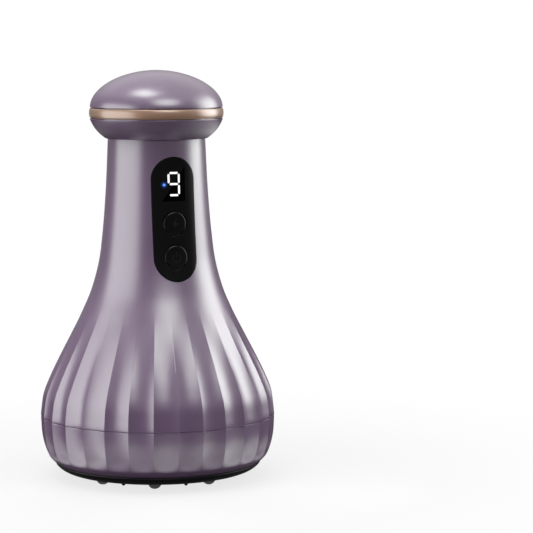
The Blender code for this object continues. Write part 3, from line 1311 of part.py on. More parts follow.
def build_knob(materials, knob):
    """The release knob: the bowl round the neck, the rose gold band and the dome."""
    origin = knob.location.z
    top = LIP_Z + BOWL_HEIGHT
    start = Vector((LIP_RADIUS + LIP_EDGE, LIP_Z))
    run = Vector((KNOB_RADIUS, top)) - start
    outward = Vector((run.y, -run.x)).normalized() * BOWL_BULGE
    outline = [(LIP_RADIUS, LIP_Z + LIP_EDGE)]
    for index in range(BOWL_ARC_POINTS):
        share = index / (BOWL_ARC_POINTS - 1)
        point = start + run * share + outward * 4 * share * (1 - share)
        outline.append((point.x, point.y))
    collar_outer = KNOB_RADIUS + BAND_PROUD - BAND_THICK - GAP
    collar_inner = collar_outer - COLLAR_WALL
    collar_top = BAND_Z + BAND_HEIGHT - GAP
    outline += [
        (collar_outer, top),
        (collar_outer, collar_top),
        (collar_inner, collar_top),
        (collar_inner, top - KNOB_WALL),
        (CAP_FLANGE_RADIUS + GAP, LIP_Z + LIP_HEIGHT),
        (LIP_RADIUS, LIP_Z + LIP_HEIGHT),
    ]
    make_piece("knob_bowl", turned([(r, z - origin) for r, z in outline], RING_SIDES),
               place=knob.location, material=materials["pearl_purple"], parent=knob)

    outer, low = KNOB_RADIUS + BAND_PROUD, BAND_Z - origin
    high = low + BAND_HEIGHT
    make_piece("knob_band", turned([
        (outer - BAND_THICK, low),
        (outer - BAND_EDGE, low),
        (outer, low + BAND_EDGE),
        (outer, high - BAND_EDGE),
        (outer - BAND_EDGE, high),
        (outer - BAND_THICK, high),
    ], RING_SIDES), place=knob.location, material=materials["rose_gold"], parent=knob)

    foot = DOME_Z - origin
    radius = KNOB_RADIUS - DOME_SETBACK
    outline = []
    for index in range(DOME_ROWS):
        angle = math.pi / 2 * (1 - (1 - index / DOME_ROWS) ** DOME_SPREAD_SHARE)
        outline.append((radius * math.cos(angle), foot + DOME_HEIGHT * math.sin(angle)))
    boss_low = DOME_BOSS_Z - origin
    bore_top = boss_low + DOME_BOSS_DEPTH / 2 + GAP
    outline += [
        (0, foot + DOME_HEIGHT),
        (0, bore_top),
        (ROD_RADIUS + GAP, bore_top),
        (ROD_RADIUS + GAP, boss_low),
        (DOME_BOSS_RADIUS, boss_low),
    ]
    skirt_outer = collar_inner - GAP
    skirt_inner = skirt_outer - COLLAR_WALL
    start = math.acos(DOME_BOSS_RADIUS / skirt_inner)
    for index in range(DOME_INNER_ROWS):
        angle = start * (1 - index / (DOME_INNER_ROWS - 1))
        height = (DOME_HEIGHT - KNOB_WALL) * math.sin(angle)
        outline.append((skirt_inner * math.cos(angle), foot + height))
    outline += [
        (skirt_inner, foot - SKIRT_DEPTH),
        (skirt_outer, foot - SKIRT_DEPTH),
        (skirt_outer, foot),
    ]
    make_piece("knob_dome", turned(outline, RING_SIDES), place=knob.location,
               material=materials["pearl_purple"], parent=knob)


def make_materials():
    """The colours and finishes of every piece."""
    finishes = {
        "pearl_purple": ((0.28, 0.22, 0.31), 0.28, 0.6),
        "rose_gold": ((0.52, 0.35, 0.26), 0.30, 1.0),
        "panel_black": ((0.006, 0.006, 0.007), 0.12),
        "button_black": ((0.008, 0.008, 0.009), 0.25),
        "face_black": ((0.007, 0.007, 0.008), 0.35),
        "ring_black": ((0.006, 0.006, 0.007), 0.28),
        "cup_black": ((0.005, 0.005, 0.006), 0.40),
        "window_smoke": ((0.008, 0.006, 0.007), 0.15),
        "bead_steel": ((0.80, 0.81, 0.83), 0.06, 1.0),
        "screw_steel": ((0.55, 0.56, 0.58), 0.30, 1.0),
        "motor_steel": ((0.60, 0.60, 0.62), 0.35, 1.0),
        "magnet_grey": ((0.06, 0.06, 0.07), 0.55),
        "brass": ((0.55, 0.40, 0.15), 0.30, 1.0),
        "seal_rubber": ((0.02, 0.02, 0.02), 0.70),
        "fitting_white": ((0.75, 0.75, 0.73), 0.45),
        "hose_silicone": ((0.65, 0.66, 0.66), 0.40),
        "frame_grey": ((0.10, 0.10, 0.11), 0.50),
        "pump_black": ((0.03, 0.03, 0.03), 0.45),
        "board_green": ((0.02, 0.12, 0.05), 0.45),
        "chip_black": ((0.02, 0.02, 0.02), 0.50),
        "display_dark": ((0.02, 0.02, 0.02), 0.30),
        "lamp_blue": ((0.05, 0.15, 0.70), 0.30),
        "cell_blue": ((0.03, 0.10, 0.35), 0.40),
        "lead_red": ((0.45, 0.03, 0.03), 0.50),
    }
    return {name: make_material(name, *finish) for name, finish in finishes.items()}


def build():
    """Model every piece."""
    clear_scene()
    materials = make_materials()
    body = make_empty("body_frame")
    knob = make_empty("knob_frame", (0, 0, LIP_Z))
    spinner = make_empty("pump_spin_frame", (0, 0, MOTOR_Z))
    mode_carrier = make_empty("mode_button_frame", (0, 0, MODE_Z))
    power_carrier = make_empty("power_button_frame", (0, 0, POWER_Z))
    for carrier in (knob, spinner, mode_carrier, power_carrier):
        carrier.parent = body

    build_face_plate(materials, body)
    build_beads(materials, body)
    build_base(materials, body)
    build_lower_shell(materials, body)
    build_upper_shell(materials, body)
    build_screws(materials, body)
    build_cup(materials, body)
    build_motor(materials, body, spinner)
    build_pump(materials, body)
    build_air_line(materials, body)
    build_battery(materials, body)
    build_electronics(materials, body)
    build_plates(materials, body)
    build_button("mode_button", MODE_Z, materials, mode_carrier)
    build_button("power_button", POWER_Z, materials, power_carrier)
    build_port(materials, body)
    build_valve(materials, body)
    build_plunger(materials, body, knob)
    build_knob(materials, knob)


build()
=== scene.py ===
import math

import bmesh
import bpy
from mathutils import Matrix, Vector
from mathutils.geometry import delaunay_2d_cdt


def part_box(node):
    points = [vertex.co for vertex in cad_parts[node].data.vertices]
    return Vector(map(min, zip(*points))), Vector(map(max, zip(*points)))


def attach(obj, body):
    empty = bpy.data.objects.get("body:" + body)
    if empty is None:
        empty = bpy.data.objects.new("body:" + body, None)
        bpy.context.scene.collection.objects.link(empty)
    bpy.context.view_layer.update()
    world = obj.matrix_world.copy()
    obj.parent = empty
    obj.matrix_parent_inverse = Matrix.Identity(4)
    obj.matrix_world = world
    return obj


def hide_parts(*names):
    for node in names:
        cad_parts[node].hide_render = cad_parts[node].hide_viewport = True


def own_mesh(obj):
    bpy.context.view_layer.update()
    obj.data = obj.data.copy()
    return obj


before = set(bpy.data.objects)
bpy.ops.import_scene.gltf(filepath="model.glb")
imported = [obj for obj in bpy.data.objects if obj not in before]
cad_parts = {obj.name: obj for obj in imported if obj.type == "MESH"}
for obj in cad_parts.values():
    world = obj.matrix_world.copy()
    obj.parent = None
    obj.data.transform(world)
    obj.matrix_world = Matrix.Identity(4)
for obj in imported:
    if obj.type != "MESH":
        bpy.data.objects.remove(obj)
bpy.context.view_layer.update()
mm = 0.001
tiny = 1e-7
sharpAngle = 35.0


# Camera

camera = {
    "place": (-265.2 * mm, -743.1 * mm, 157.5 * mm),
    "heading": 22.481,      # degrees to the right of +Y
    "tilt": -5.951,
    "roll": -0.042,
    "lens": 149.5, "sensor": 36.0,
    "near": 0.01, "far": 50.0,
}


def linkObject(name, data):
    piece = bpy.data.objects.new(name, data)
    bpy.context.scene.collection.objects.link(piece)
    return piece


def addCamera(c):
    data = bpy.data.cameras.new("photoCamera")
    data.lens = c["lens"]
    data.sensor_width = c["sensor"]
    data.sensor_fit = "HORIZONTAL"
    data.clip_start, data.clip_end = c["near"], c["far"]
    view = linkObject("photoCamera", data)
    turn = Matrix.Rotation(math.radians(-c["heading"]), 4, "Z")
    lean = Matrix.Rotation(math.radians(90 + c["tilt"]), 4, "X")
    roll = Matrix.Rotation(math.radians(c["roll"]), 4, "Z")
    view.matrix_world = Matrix.Translation(c["place"]) @ turn @ lean @ roll
    bpy.context.scene.camera = view


addCamera(camera)
print("camera placed")


# Node helpers, shared by the shaders and the geometry trees

def wire(tree, kind, values=None, links=None, **settings):
    # one node with its settings, socket values and incoming links
    node = tree.nodes.new(kind)
    for key, value in settings.items():
        setattr(node, key, value)
    for key, value in (values or {}).items():
        node.inputs[key].default_value = value
    for key, source in (links or {}).items():
        tree.links.new(source, node.inputs[key])
    return node


def calc(tree, operation, *terms):
    # one Math node; each term is a number or a socket
    node = tree.nodes.new("ShaderNodeMath")
    node.operation = operation
    for index, term in enumerate(terms):
        if isinstance(term, (int, float)):
            node.inputs[index].default_value = term
        else:
            tree.links.new(term, node.inputs[index])
    return node.outputs[0]


def product(tree, first, *others):
    for term in others:
        first = calc(tree, "MULTIPLY", first, term)
    return first


def lengthOf(tree, first, second):
    # the length of a flat vector that two sockets give
    return calc(tree, "SQRT", calc(tree, "ADD", calc(tree, "POWER", first, 2.0),
                                   calc(tree, "POWER", second, 2.0)))


def softStep(tree, value, low, high):
    # 0 to 1 between two limits, each a number or a socket
    node = wire(tree, "ShaderNodeMapRange", interpolation_type="SMOOTHSTEP")
    for name, term in (("Value", value), ("From Min", low), ("From Max", high)):
        if isinstance(term, (int, float)):
            node.inputs[name].default_value = term
        else:
            tree.links.new(term, node.inputs[name])
    return node.outputs[0]


def objectPoint(tree):
    return wire(tree, "ShaderNodeTexCoord").outputs["Object"]


def groupSockets(tree, ins, outs):
    for name, kind, value in ins:
        socket = tree.interface.new_socket(name, in_out="INPUT", socket_type=kind)
        if value is not None:
            socket.default_value = value
    for name, kind in outs:
        tree.interface.new_socket(name, in_out="OUTPUT", socket_type=kind)
    return tree.nodes.new("NodeGroupInput"), tree.nodes.new("NodeGroupOutput")


def endGeometry(tree, geometry, finish, end):
    # copies become real mesh, in the finish that is handed in
    real = wire(tree, "GeometryNodeRealizeInstances", links={0: geometry})
    done = wire(tree, "GeometryNodeSetMaterial", links={
        "Geometry": real.outputs[0], "Material": finish})
    tree.links.new(done.outputs[0], end.inputs[0])
    return tree


# Mesh helpers

def direction(bearing, height):
    b, h = math.radians(bearing), math.radians(height)
    return Vector((math.cos(b) * math.cos(h), math.sin(b) * math.cos(h), math.sin(h)))


def smooth(mesh, sharp):
    mesh.shade_smooth()
    mesh.set_sharp_from_angle(angle=math.radians(sharp))


def fillMesh(mesh, work, sharp):
    # a bmesh goes into a mesh, welded and with its faces outwards
    bmesh.ops.remove_doubles(work, verts=work.verts, dist=tiny)
    bmesh.ops.recalc_face_normals(work, faces=work.faces)
    work.to_mesh(mesh)
    work.free()
    smooth(mesh, sharp)


def addPiece(name, work, material, sharp=sharpAngle):
    mesh = bpy.data.meshes.new(name)
    fillMesh(mesh, work, sharp)
    if material:
        mesh.materials.append(material)
    return linkObject(name, mesh)


def filleted(outline, steps=5):
    # (r, z, fillet) corners of a closed outline, with each corner rounded
    points = []
    count = len(outline)
    for index, (r, z, fillet) in enumerate(outline):
        here = Vector((r, z))
        before = Vector(outline[index - 1][:2]) - here
        after = Vector(outline[(index + 1) % count][:2]) - here
        if fillet <= 0 or before.length < tiny or after.length < tiny:
            points.append((r, z))
            continue
        half = before.angle(after) / 2
        reach = min(fillet / math.tan(half), before.length * 0.49, after.length * 0.49)
        radius = reach * math.tan(half)
        centre = here + (before.normalized() + after.normalized()).normalized() * (
            radius / math.sin(half))
        start = here + before.normalized() * reach - centre
        end = here + after.normalized() * reach - centre
        sweep = start.angle(end)
        if sweep < 1e-3:
            points.append((r, z))
            continue
        for step in range(steps + 1):
            share = step / steps
            spoke = start * math.sin((1 - share) * sweep) + end * math.sin(share * sweep)
            points.append(tuple(centre + spoke / math.sin(sweep)))
    return points


def turned(outline, sides):
    # a closed (r, z) outline turned round the Z axis
    work = bmesh.new()
    rows = []
    for r, z in outline:
        if r < tiny:
            rows.append([work.verts.new((0, 0, z))])
        else:
            rows.append([work.verts.new((r * math.cos(2 * math.pi * k / sides),
                                         r * math.sin(2 * math.pi * k / sides), z))
                         for k in range(sides)])
    for first, second in zip(rows, rows[1:] + rows[:1]):
        if len(first) == 1 and len(second) == 1:
            continue
        for k in range(sides):
            n = (k + 1) % sides
            corners = []
            for vertex in (first[k % len(first)], first[n % len(first)],
                           second[n % len(second)], second[k % len(second)]):
                if vertex not in corners:
                    corners.append(vertex)
            work.faces.new(corners)
    return work


def joinRings(work, first, second):
    # a band of faces between two closed rings of equal count
    for k in range(len(first)):
        n = (k + 1) % len(first)
        work.faces.new((first[k], first[n], second[n], second[k]))


def keepEvaluated(piece):
    # the modifiers' result becomes the piece's own mesh
    bpy.context.view_layer.update()
    graph = bpy.context.evaluated_depsgraph_get()
    mesh = bpy.data.meshes.new_from_object(piece.evaluated_get(graph))
    piece.modifiers.clear()
    old, piece.data = piece.data, mesh
    mesh.name = old.name
    bpy.data.meshes.remove(old)


def cutOut(piece, *works):
    cutters = [addPiece(piece.name + ".cutter", work, None) for work in works]
    for cutter in cutters:
        modifier = piece.modifiers.new("cut", "BOOLEAN")
        modifier.operation = "DIFFERENCE"
        modifier.solver = "EXACT"
        modifier.object = cutter
    keepEvaluated(piece)
    for cutter in cutters:
        bpy.data.objects.remove(cutter, do_unlink=True)
    smooth(piece.data, sharpAngle)


def runTree(piece, tree, inputs):
    modifier = piece.modifiers.new("nodes", "NODES")
    modifier.node_group = tree
    for socket in tree.interface.items_tree:
        if socket.item_type == "SOCKET" and socket.in_out == "INPUT" and socket.name in inputs:
            modifier[socket.identifier] = inputs[socket.name]
    keepEvaluated(piece)


def cleanPiece(piece):
    work = bmesh.new()
    work.from_mesh(piece.data)
    fillMesh(piece.data, work, sharpAngle)


def place(piece, body, slot, *nodes):
    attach(piece, body)
    if nodes:
        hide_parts(*nodes)
    return piece


# Shader groups: masks and heights that several materials share

texture = {
    "grain": 4200.0, "drift": 38.0, "flake": 6500.0,
    "smear": 70.0, "smearFrom": 0.42, "smearTo": 0.72,
    "line": 9000.0, "lineAround": 0.0008,
    "plasticBump": 0.5, "metalBump": 0.35,
}


def makeFineGrain(t):
    # moulding grain: small speckle, a slow drift and a height for a Bump node
    tree = bpy.data.node_groups.new("fineGrain", "ShaderNodeTree")
    start, end = groupSockets(
        tree,
        [("Scale", "NodeSocketFloat", 1.0), ("Drift Scale", "NodeSocketFloat", 1.0)],
        [("Speckle", "NodeSocketFloat"), ("Drift", "NodeSocketFloat"),
         ("Height", "NodeSocketFloat")])
    spot = objectPoint(tree)
    fine = wire(tree, "ShaderNodeTexNoise", {"Detail": 3.0, "Roughness": 0.6},
                {"Vector": spot, "Scale": calc(tree, "MULTIPLY", start.outputs[0], t["grain"])})
    slow = wire(tree, "ShaderNodeTexNoise", {"Detail": 2.0},
                {"Vector": spot, "Scale": calc(tree, "MULTIPLY", start.outputs[1], t["drift"])})
    tree.links.new(fine.outputs["Fac"], end.inputs["Speckle"])
    tree.links.new(slow.outputs["Fac"], end.inputs["Drift"])
    tree.links.new(fine.outputs["Fac"], end.inputs["Height"])
    return tree


def makePearlFlake(t):
    # the glitter of pearl lacquer: tiny flat cells, some brighter than others
    tree = bpy.data.node_groups.new("pearlFlake", "ShaderNodeTree")
    start, end = groupSockets(
        tree,
        [("Size", "NodeSocketFloat", 1.0), ("Amount", "NodeSocketFloat", 0.5)],
        [("Flake", "NodeSocketFloat"), ("Height", "NodeSocketFloat")])
    cells = wire(tree, "ShaderNodeTexVoronoi", {"Randomness": 1.0}, {
        "Vector": objectPoint(tree),
        "Scale": calc(tree, "DIVIDE", t["flake"], start.outputs[0])})
    grey = wire(tree, "ShaderNodeSeparateColor", links={0: cells.outputs["Color"]})
    away = calc(tree, "SUBTRACT", grey.outputs[0], 0.5)
    flake = calc(tree, "MULTIPLY_ADD", away, start.outputs[1], 0.5)
    tree.links.new(flake, end.inputs["Flake"])
    tree.links.new(grey.outputs[1], end.inputs["Height"])
    return tree


def makeHandling(t):
    # soft smears that handling leaves on a gloss surface
    tree = bpy.data.node_groups.new("handling", "ShaderNodeTree")
    start, end = groupSockets(
        tree,
        [("Base", "NodeSocketFloat", 0.2), ("Smear", "NodeSocketFloat", 0.05),
         ("Scale", "NodeSocketFloat", 1.0)],
        [("Roughness", "NodeSocketFloat")])
    cloud = wire(tree, "ShaderNodeTexNoise", {"Detail": 4.0, "Roughness": 0.55, "Distortion": 0.6},
                 {"Vector": objectPoint(tree),
                  "Scale": calc(tree, "MULTIPLY", start.outputs[2], t["smear"])})
    mask = softStep(tree, cloud.outputs["Fac"], t["smearFrom"], t["smearTo"])
    rough = calc(tree, "MULTIPLY_ADD", mask, start.outputs[1], start.outputs[0])
    tree.links.new(rough, end.inputs["Roughness"])
    return tree


def makeTurnLines(t):
    # fine lines round the Z axis, as spinning leaves them on metal
    tree = bpy.data.node_groups.new("turnLines", "ShaderNodeTree")
    start, end = groupSockets(
        tree,
        [("Pitch", "NodeSocketFloat", 1.0)],
        [("Line", "NodeSocketFloat"), ("Height", "NodeSocketFloat")])
    split = wire(tree, "ShaderNodeSeparateXYZ", links={0: objectPoint(tree)})
    x, y, z = split.outputs
    row = wire(tree, "ShaderNodeCombineXYZ", links={
        0: calc(tree, "MULTIPLY", lengthOf(tree, x, y), start.outputs[0]),
        1: calc(tree, "MULTIPLY", calc(tree, "ARCTAN2", y, x), t["lineAround"]),
        2: calc(tree, "MULTIPLY", z, start.outputs[0])})
    lines = wire(tree, "ShaderNodeTexNoise", {"Scale": t["line"], "Detail": 4.0},
                 {"Vector": row.outputs[0]})
    for name in ("Line", "Height"):
        tree.links.new(lines.outputs["Fac"], end.inputs[name])
    return tree


fineGrain = makeFineGrain(texture)
pearlFlake = makePearlFlake(texture)
handling = makeHandling(texture)
turnLines = makeTurnLines(texture)


# Materials

def startMaterial(name, **sockets):
    material = bpy.data.materials.new(name)
    material.use_nodes = True
    shader = material.node_tree.nodes["Principled BSDF"]
    for key, value in sockets.items():
        shader.inputs[key.replace("_", " ")].default_value = value
    return material, material.node_tree, shader


def useGroup(tree, group, **values):
    node = tree.nodes.new("ShaderNodeGroup")
    node.node_tree = group
    for key, value in values.items():
        node.inputs[key.replace("_", " ")].default_value = value
    return node


def blendColors(tree, mask, low, high):
    mix = wire(tree, "ShaderNodeMix", data_type="RGBA")
    mix.inputs[6].default_value = (*low, 1)
    mix.inputs[7].default_value = (*high, 1)
    tree.links.new(mask, mix.inputs[0])
    return mix.outputs[2]


def multiplyColors(tree, share, first, second):
    mix = wire(tree, "ShaderNodeMix", data_type="RGBA", blend_type="MULTIPLY")
    mix.inputs[0].default_value = share
    tree.links.new(first, mix.inputs[6])
    tree.links.new(second, mix.inputs[7])
    return mix.outputs[2]


def varied(tree, mask, color, vary):
    # a colour that drifts a little darker and lighter
    return blendColors(tree, mask, [c * (1 - vary) for c in color],
                       [min(c * (1 + vary), 1) for c in color])


def bumpFrom(tree, shader, height, strength, distance):
    bump = wire(tree, "ShaderNodeBump", {"Strength": strength, "Distance": distance},
                {"Height": height})
    tree.links.new(bump.outputs[0], shader.inputs["Normal"])


def handleMarks(tree, shader, roughness, smear, scale=1.0):
    marks = useGroup(tree, handling, Base=roughness, Smear=smear, Scale=scale)
    tree.links.new(marks.outputs["Roughness"], shader.inputs["Roughness"])


def makePlastic(name, color, roughness, vary=0.12, bump=0.01 * mm, smear=0.06, **sockets):
    # moulded plastic or rubber: grain, slow tone drift and handling marks
    material, tree, shader = startMaterial(name, **sockets)
    grain = useGroup(tree, fineGrain)
    tone = multiplyColors(tree, vary, varied(tree, grain.outputs["Drift"], color, vary),
                          grain.outputs["Speckle"])
    tree.links.new(tone, shader.inputs["Base Color"])
    handleMarks(tree, shader, roughness, smear)
    bumpFrom(tree, shader, grain.outputs["Height"], texture["plasticBump"], bump)
    return material


def makeMetal(name, color, roughness, pitch=1.0, vary=0.08, bump=0.004 * mm, smear=0.05,
              metallic=1.0, **sockets):
    # turned or plated metal: spun lines, tone drift and handling marks
    material, tree, shader = startMaterial(name, Metallic=metallic, **sockets)
    lines = useGroup(tree, turnLines, Pitch=pitch)
    tree.links.new(varied(tree, lines.outputs["Line"], color, vary), shader.inputs["Base Color"])
    handleMarks(tree, shader, roughness, smear)
    bumpFrom(tree, shader, lines.outputs["Height"], texture["metalBump"], bump)
    return material


pearl = {
    "low": (0.156, 0.083, 0.174), "high": (0.176, 0.096, 0.196), "gloss": (0.87, 1.0, 0.87),
    "grain": 0.6, "drift": 0.7, "flakeDark": 0.92, "flakeSize": 1.0, "flakeAmount": 0.5,
    "ior": 1.9, "roughness": 0.34, "smear": 0.03, "smearScale": 0.5,
    "coat": 0.7, "coatRoughness": 0.22, "coatIor": 1.6,
    "bump": 0.10, "bumpHeight": 0.004 * mm,
}


def makePearlPurple(p):
    material, tree, shader = startMaterial("pearlPurple", IOR=p["ior"], Coat_Weight=p["coat"],
                                           Coat_Roughness=p["coatRoughness"],
                                           Coat_IOR=p["coatIor"])
    # the pearl's gloss leans away from its body colour
    shader.inputs["Specular Tint"].default_value = (*p["gloss"], 1)
    grain = useGroup(tree, fineGrain, Scale=p["grain"], Drift_Scale=p["drift"])
    flake = useGroup(tree, pearlFlake, Size=p["flakeSize"], Amount=p["flakeAmount"])
    tone = blendColors(tree, grain.outputs["Drift"], p["low"], p["high"])
    dots = blendColors(tree, flake.outputs["Flake"], [p["flakeDark"]] * 3,
                       [2 - p["flakeDark"]] * 3)
    tree.links.new(multiplyColors(tree, 1.0, tone, dots), shader.inputs["Base Color"])
    handleMarks(tree, shader, p["roughness"], p["smear"], p["smearScale"])
    bumpFrom(tree, shader, flake.outputs["Height"], p["bump"], p["bumpHeight"])
    return material


materials = {
    "pearl_purple": makePearlPurple(pearl),
    "rose_gold": makeMetal("roseGold", (0.40, 0.232, 0.15), 0.30, pitch=0.8, metallic=0.06,
                           IOR=1.65, Coat_Weight=1.0, Coat_Roughness=0.18),
    "button_black": makePlastic("buttonBlack", (0.0035, 0.0035, 0.0037), 0.12, smear=0.02,
                                Specular_IOR_Level=0.4),
    "face_black": makePlastic("faceBlack", (0.010, 0.010, 0.011), 0.36, bump=0.012 * mm),
    "ring_black": makePlastic("ringBlack", (0.0065, 0.0065, 0.0070), 0.30,
                              Specular_IOR_Level=0.3),
    "cup_black": makePlastic("cupBlack", (0.006, 0.006, 0.007), 0.33, bump=0.008 * mm),
    "window_smoke": makePlastic("windowSmoke", (0.008, 0.006, 0.007), 0.12, bump=0.002 * mm),
    "bead_steel": makeMetal("beadSteel", (0.86, 0.87, 0.88), 0.04, smear=0.03, bump=0.001 * mm),
    "screw_steel": makeMetal("screwSteel", (0.56, 0.57, 0.59), 0.30),
    "motor_steel": makeMetal("motorSteel", (0.60, 0.60, 0.62), 0.34, pitch=0.5),
    "magnet_grey": makePlastic("magnetGrey", (0.06, 0.06, 0.07), 0.55, vary=0.25),
    "brass": makeMetal("turnedBrass", (0.60, 0.43, 0.17), 0.28),
    "seal_rubber": makePlastic("sealRubber", (0.022, 0.022, 0.022), 0.68, bump=0.02 * mm),
    "fitting_white": makePlastic("fittingWhite", (0.74, 0.74, 0.71), 0.42, vary=0.05),
    "hose_silicone": makePlastic("hoseSilicone", (0.62, 0.64, 0.64), 0.36, vary=0.05),
    "frame_grey": makePlastic("frameGrey", (0.11, 0.11, 0.12), 0.48),
    "pump_black": makePlastic("pumpBlack", (0.03, 0.03, 0.032), 0.44),
    "board_green": makePlastic("boardGreen", (0.02, 0.13, 0.05), 0.40, vary=0.2),
    "chip_black": makePlastic("chipBlack", (0.02, 0.02, 0.022), 0.50),
    "display_dark": makePlastic("displayDark", (0.02, 0.02, 0.02), 0.30),
    "cell_blue": makePlastic("cellBlue", (0.03, 0.11, 0.36), 0.32, vary=0.08),
    "lead_red": makePlastic("leadRed", (0.46, 0.03, 0.03), 0.42),
}


glowPart = {"grain": 0.4, "drift": 6.0, "dim": 0.93, "coat": 1.0, "coatRoughness": 0.05}


def makeGlow(name, color, strength, roughness, unlit):
    # a lit part behind gloss, a little uneven as such parts are
    material, tree, shader = startMaterial(name, Roughness=roughness, Coat_Weight=glowPart["coat"],
                                           Coat_Roughness=glowPart["coatRoughness"],
                                           Emission_Strength=strength)
    shader.inputs["Base Color"].default_value = (*unlit, 1)
    grain = useGroup(tree, fineGrain, Scale=glowPart["grain"], Drift_Scale=glowPart["drift"])
    lit = blendColors(tree, grain.outputs["Drift"], [c * glowPart["dim"] for c in color], color)
    tree.links.new(lit, shader.inputs["Emission Color"])
    return material


materials["lamp_blue"] = makeGlow("lampBlue", (0.16, 0.42, 1.0), 1.0, 0.2, (0.02, 0.06, 0.3))
digitWhite = makeGlow("digitWhite", (1.0, 1.0, 1.0), 0.9, 0.25, (0.6, 0.6, 0.6))

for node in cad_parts.values():
    for item in node.material_slots:
        slotName = item.material.name.split(".")[0] if item.material else ""
        if slotName in materials:
            item.material = materials[slotName]
print("materials made")


# Purple shells: a fluted bell and neck, and the fluted ring under the seam

shell = {
    "footZ": 5.95 * mm, "seamZ": 22.4 * mm, "neckTopZ": 124.3 * mm,
    "footRadius": 36.9 * mm, "bellyRadius": 42.0 * mm, "neckRadius": 17.2 * mm,
    "wall": 2.4 * mm, "neckBore": 15.4 * mm,
    "seamGap": 0.2 * mm, "seamRound": 0.05 * mm, "rimRound": 0.25 * mm, "roundSteps": 4,
    # the lower shell's inside: its wall, its floor, and the rebate for the base ring
    "drop": 0.2 * mm, "footInset": 0.25 * mm, "footMiddle": 33.6 * mm, "kneeZ": 16.1 * mm,
    "floorEdge": 36.2 * mm, "floorZ": 9.8 * mm, "cupHole": 20.6 * mm, "rebateZ": 7.5 * mm,
    "rebateRadius": 30.6 * mm,
    # heights between the rows of points, close where the outline bends most
    "lowSteps": (0.15 * mm, 0.5 * mm), "lowChange": 2.0 * mm, "lowEnd": 0.5 * mm,
    "highSteps": (0.75 * mm, 1.3 * mm), "highChange": 70 * mm,
    "highStart": 0.6 * mm, "highEnd": 0.3 * mm,
    "innerStart": 0.5 * mm, "innerStep": 4.5 * mm, "innerEnd": 34 * mm,
    "flutes": 30, "pointsPerFlute": 12, "depth": 0.95 * mm, "turn": 2.2,
    "fluteFoot": 7.55 * mm, "fluteFootRun": 4.5 * mm,
    "fluteHead": 63.16 * mm, "fluteHeadRun": 32.0 * mm,
    # under the seam: share of the height, share of the swell
    "belly": [(-0.03, -0.14), (0, 0), (0.05, 0.22), (0.145, 0.48), (0.40, 0.785), (0.65, 0.935),
              (1, 1)],
    # over the seam: share of the height, share of the flare
    "bell": [(0, 1), (0.029, 0.99), (0.079, 0.958), (0.134, 0.871), (0.204, 0.733),
             (0.283, 0.565), (0.363, 0.397), (0.443, 0.256), (0.543, 0.145), (0.642, 0.091),
             (0.742, 0.0545), (0.842, 0.0286), (1, 0)],
}


def smoothAlong(table, share):
    # one smooth curve through a table of shares
    last = len(table) - 1
    index = 0
    while index < last - 1 and share > table[index + 1][0]:
        index += 1

    def slope(at):
        before, after = table[max(at - 1, 0)], table[min(at + 1, last)]
        return (after[1] - before[1]) / (after[0] - before[0])

    (x0, y0), (x1, y1) = table[index], table[index + 1]
    run = x1 - x0
    t = (share - x0) / run
    start = slope(index) if index else 0.0
    end = slope(index + 1)
    return (y0 * (1 + 2 * t) * (1 - t) ** 2 + y1 * t * t * (3 - 2 * t)
            + run * t * (1 - t) * (start * (1 - t) - end * t))


def bodyRadius(z):
    s = shell
    if z < s["seamZ"]:
        share = (z - s["footZ"]) / (s["seamZ"] - s["footZ"])
        return s["footRadius"] + (s["bellyRadius"] - s["footRadius"]) * smoothAlong(s["belly"], share)
    share = min((z - s["seamZ"]) / (s["neckTopZ"] - s["seamZ"]), 1.0)
    return s["neckRadius"] + (s["bellyRadius"] - s["neckRadius"]) * smoothAlong(s["bell"], share)


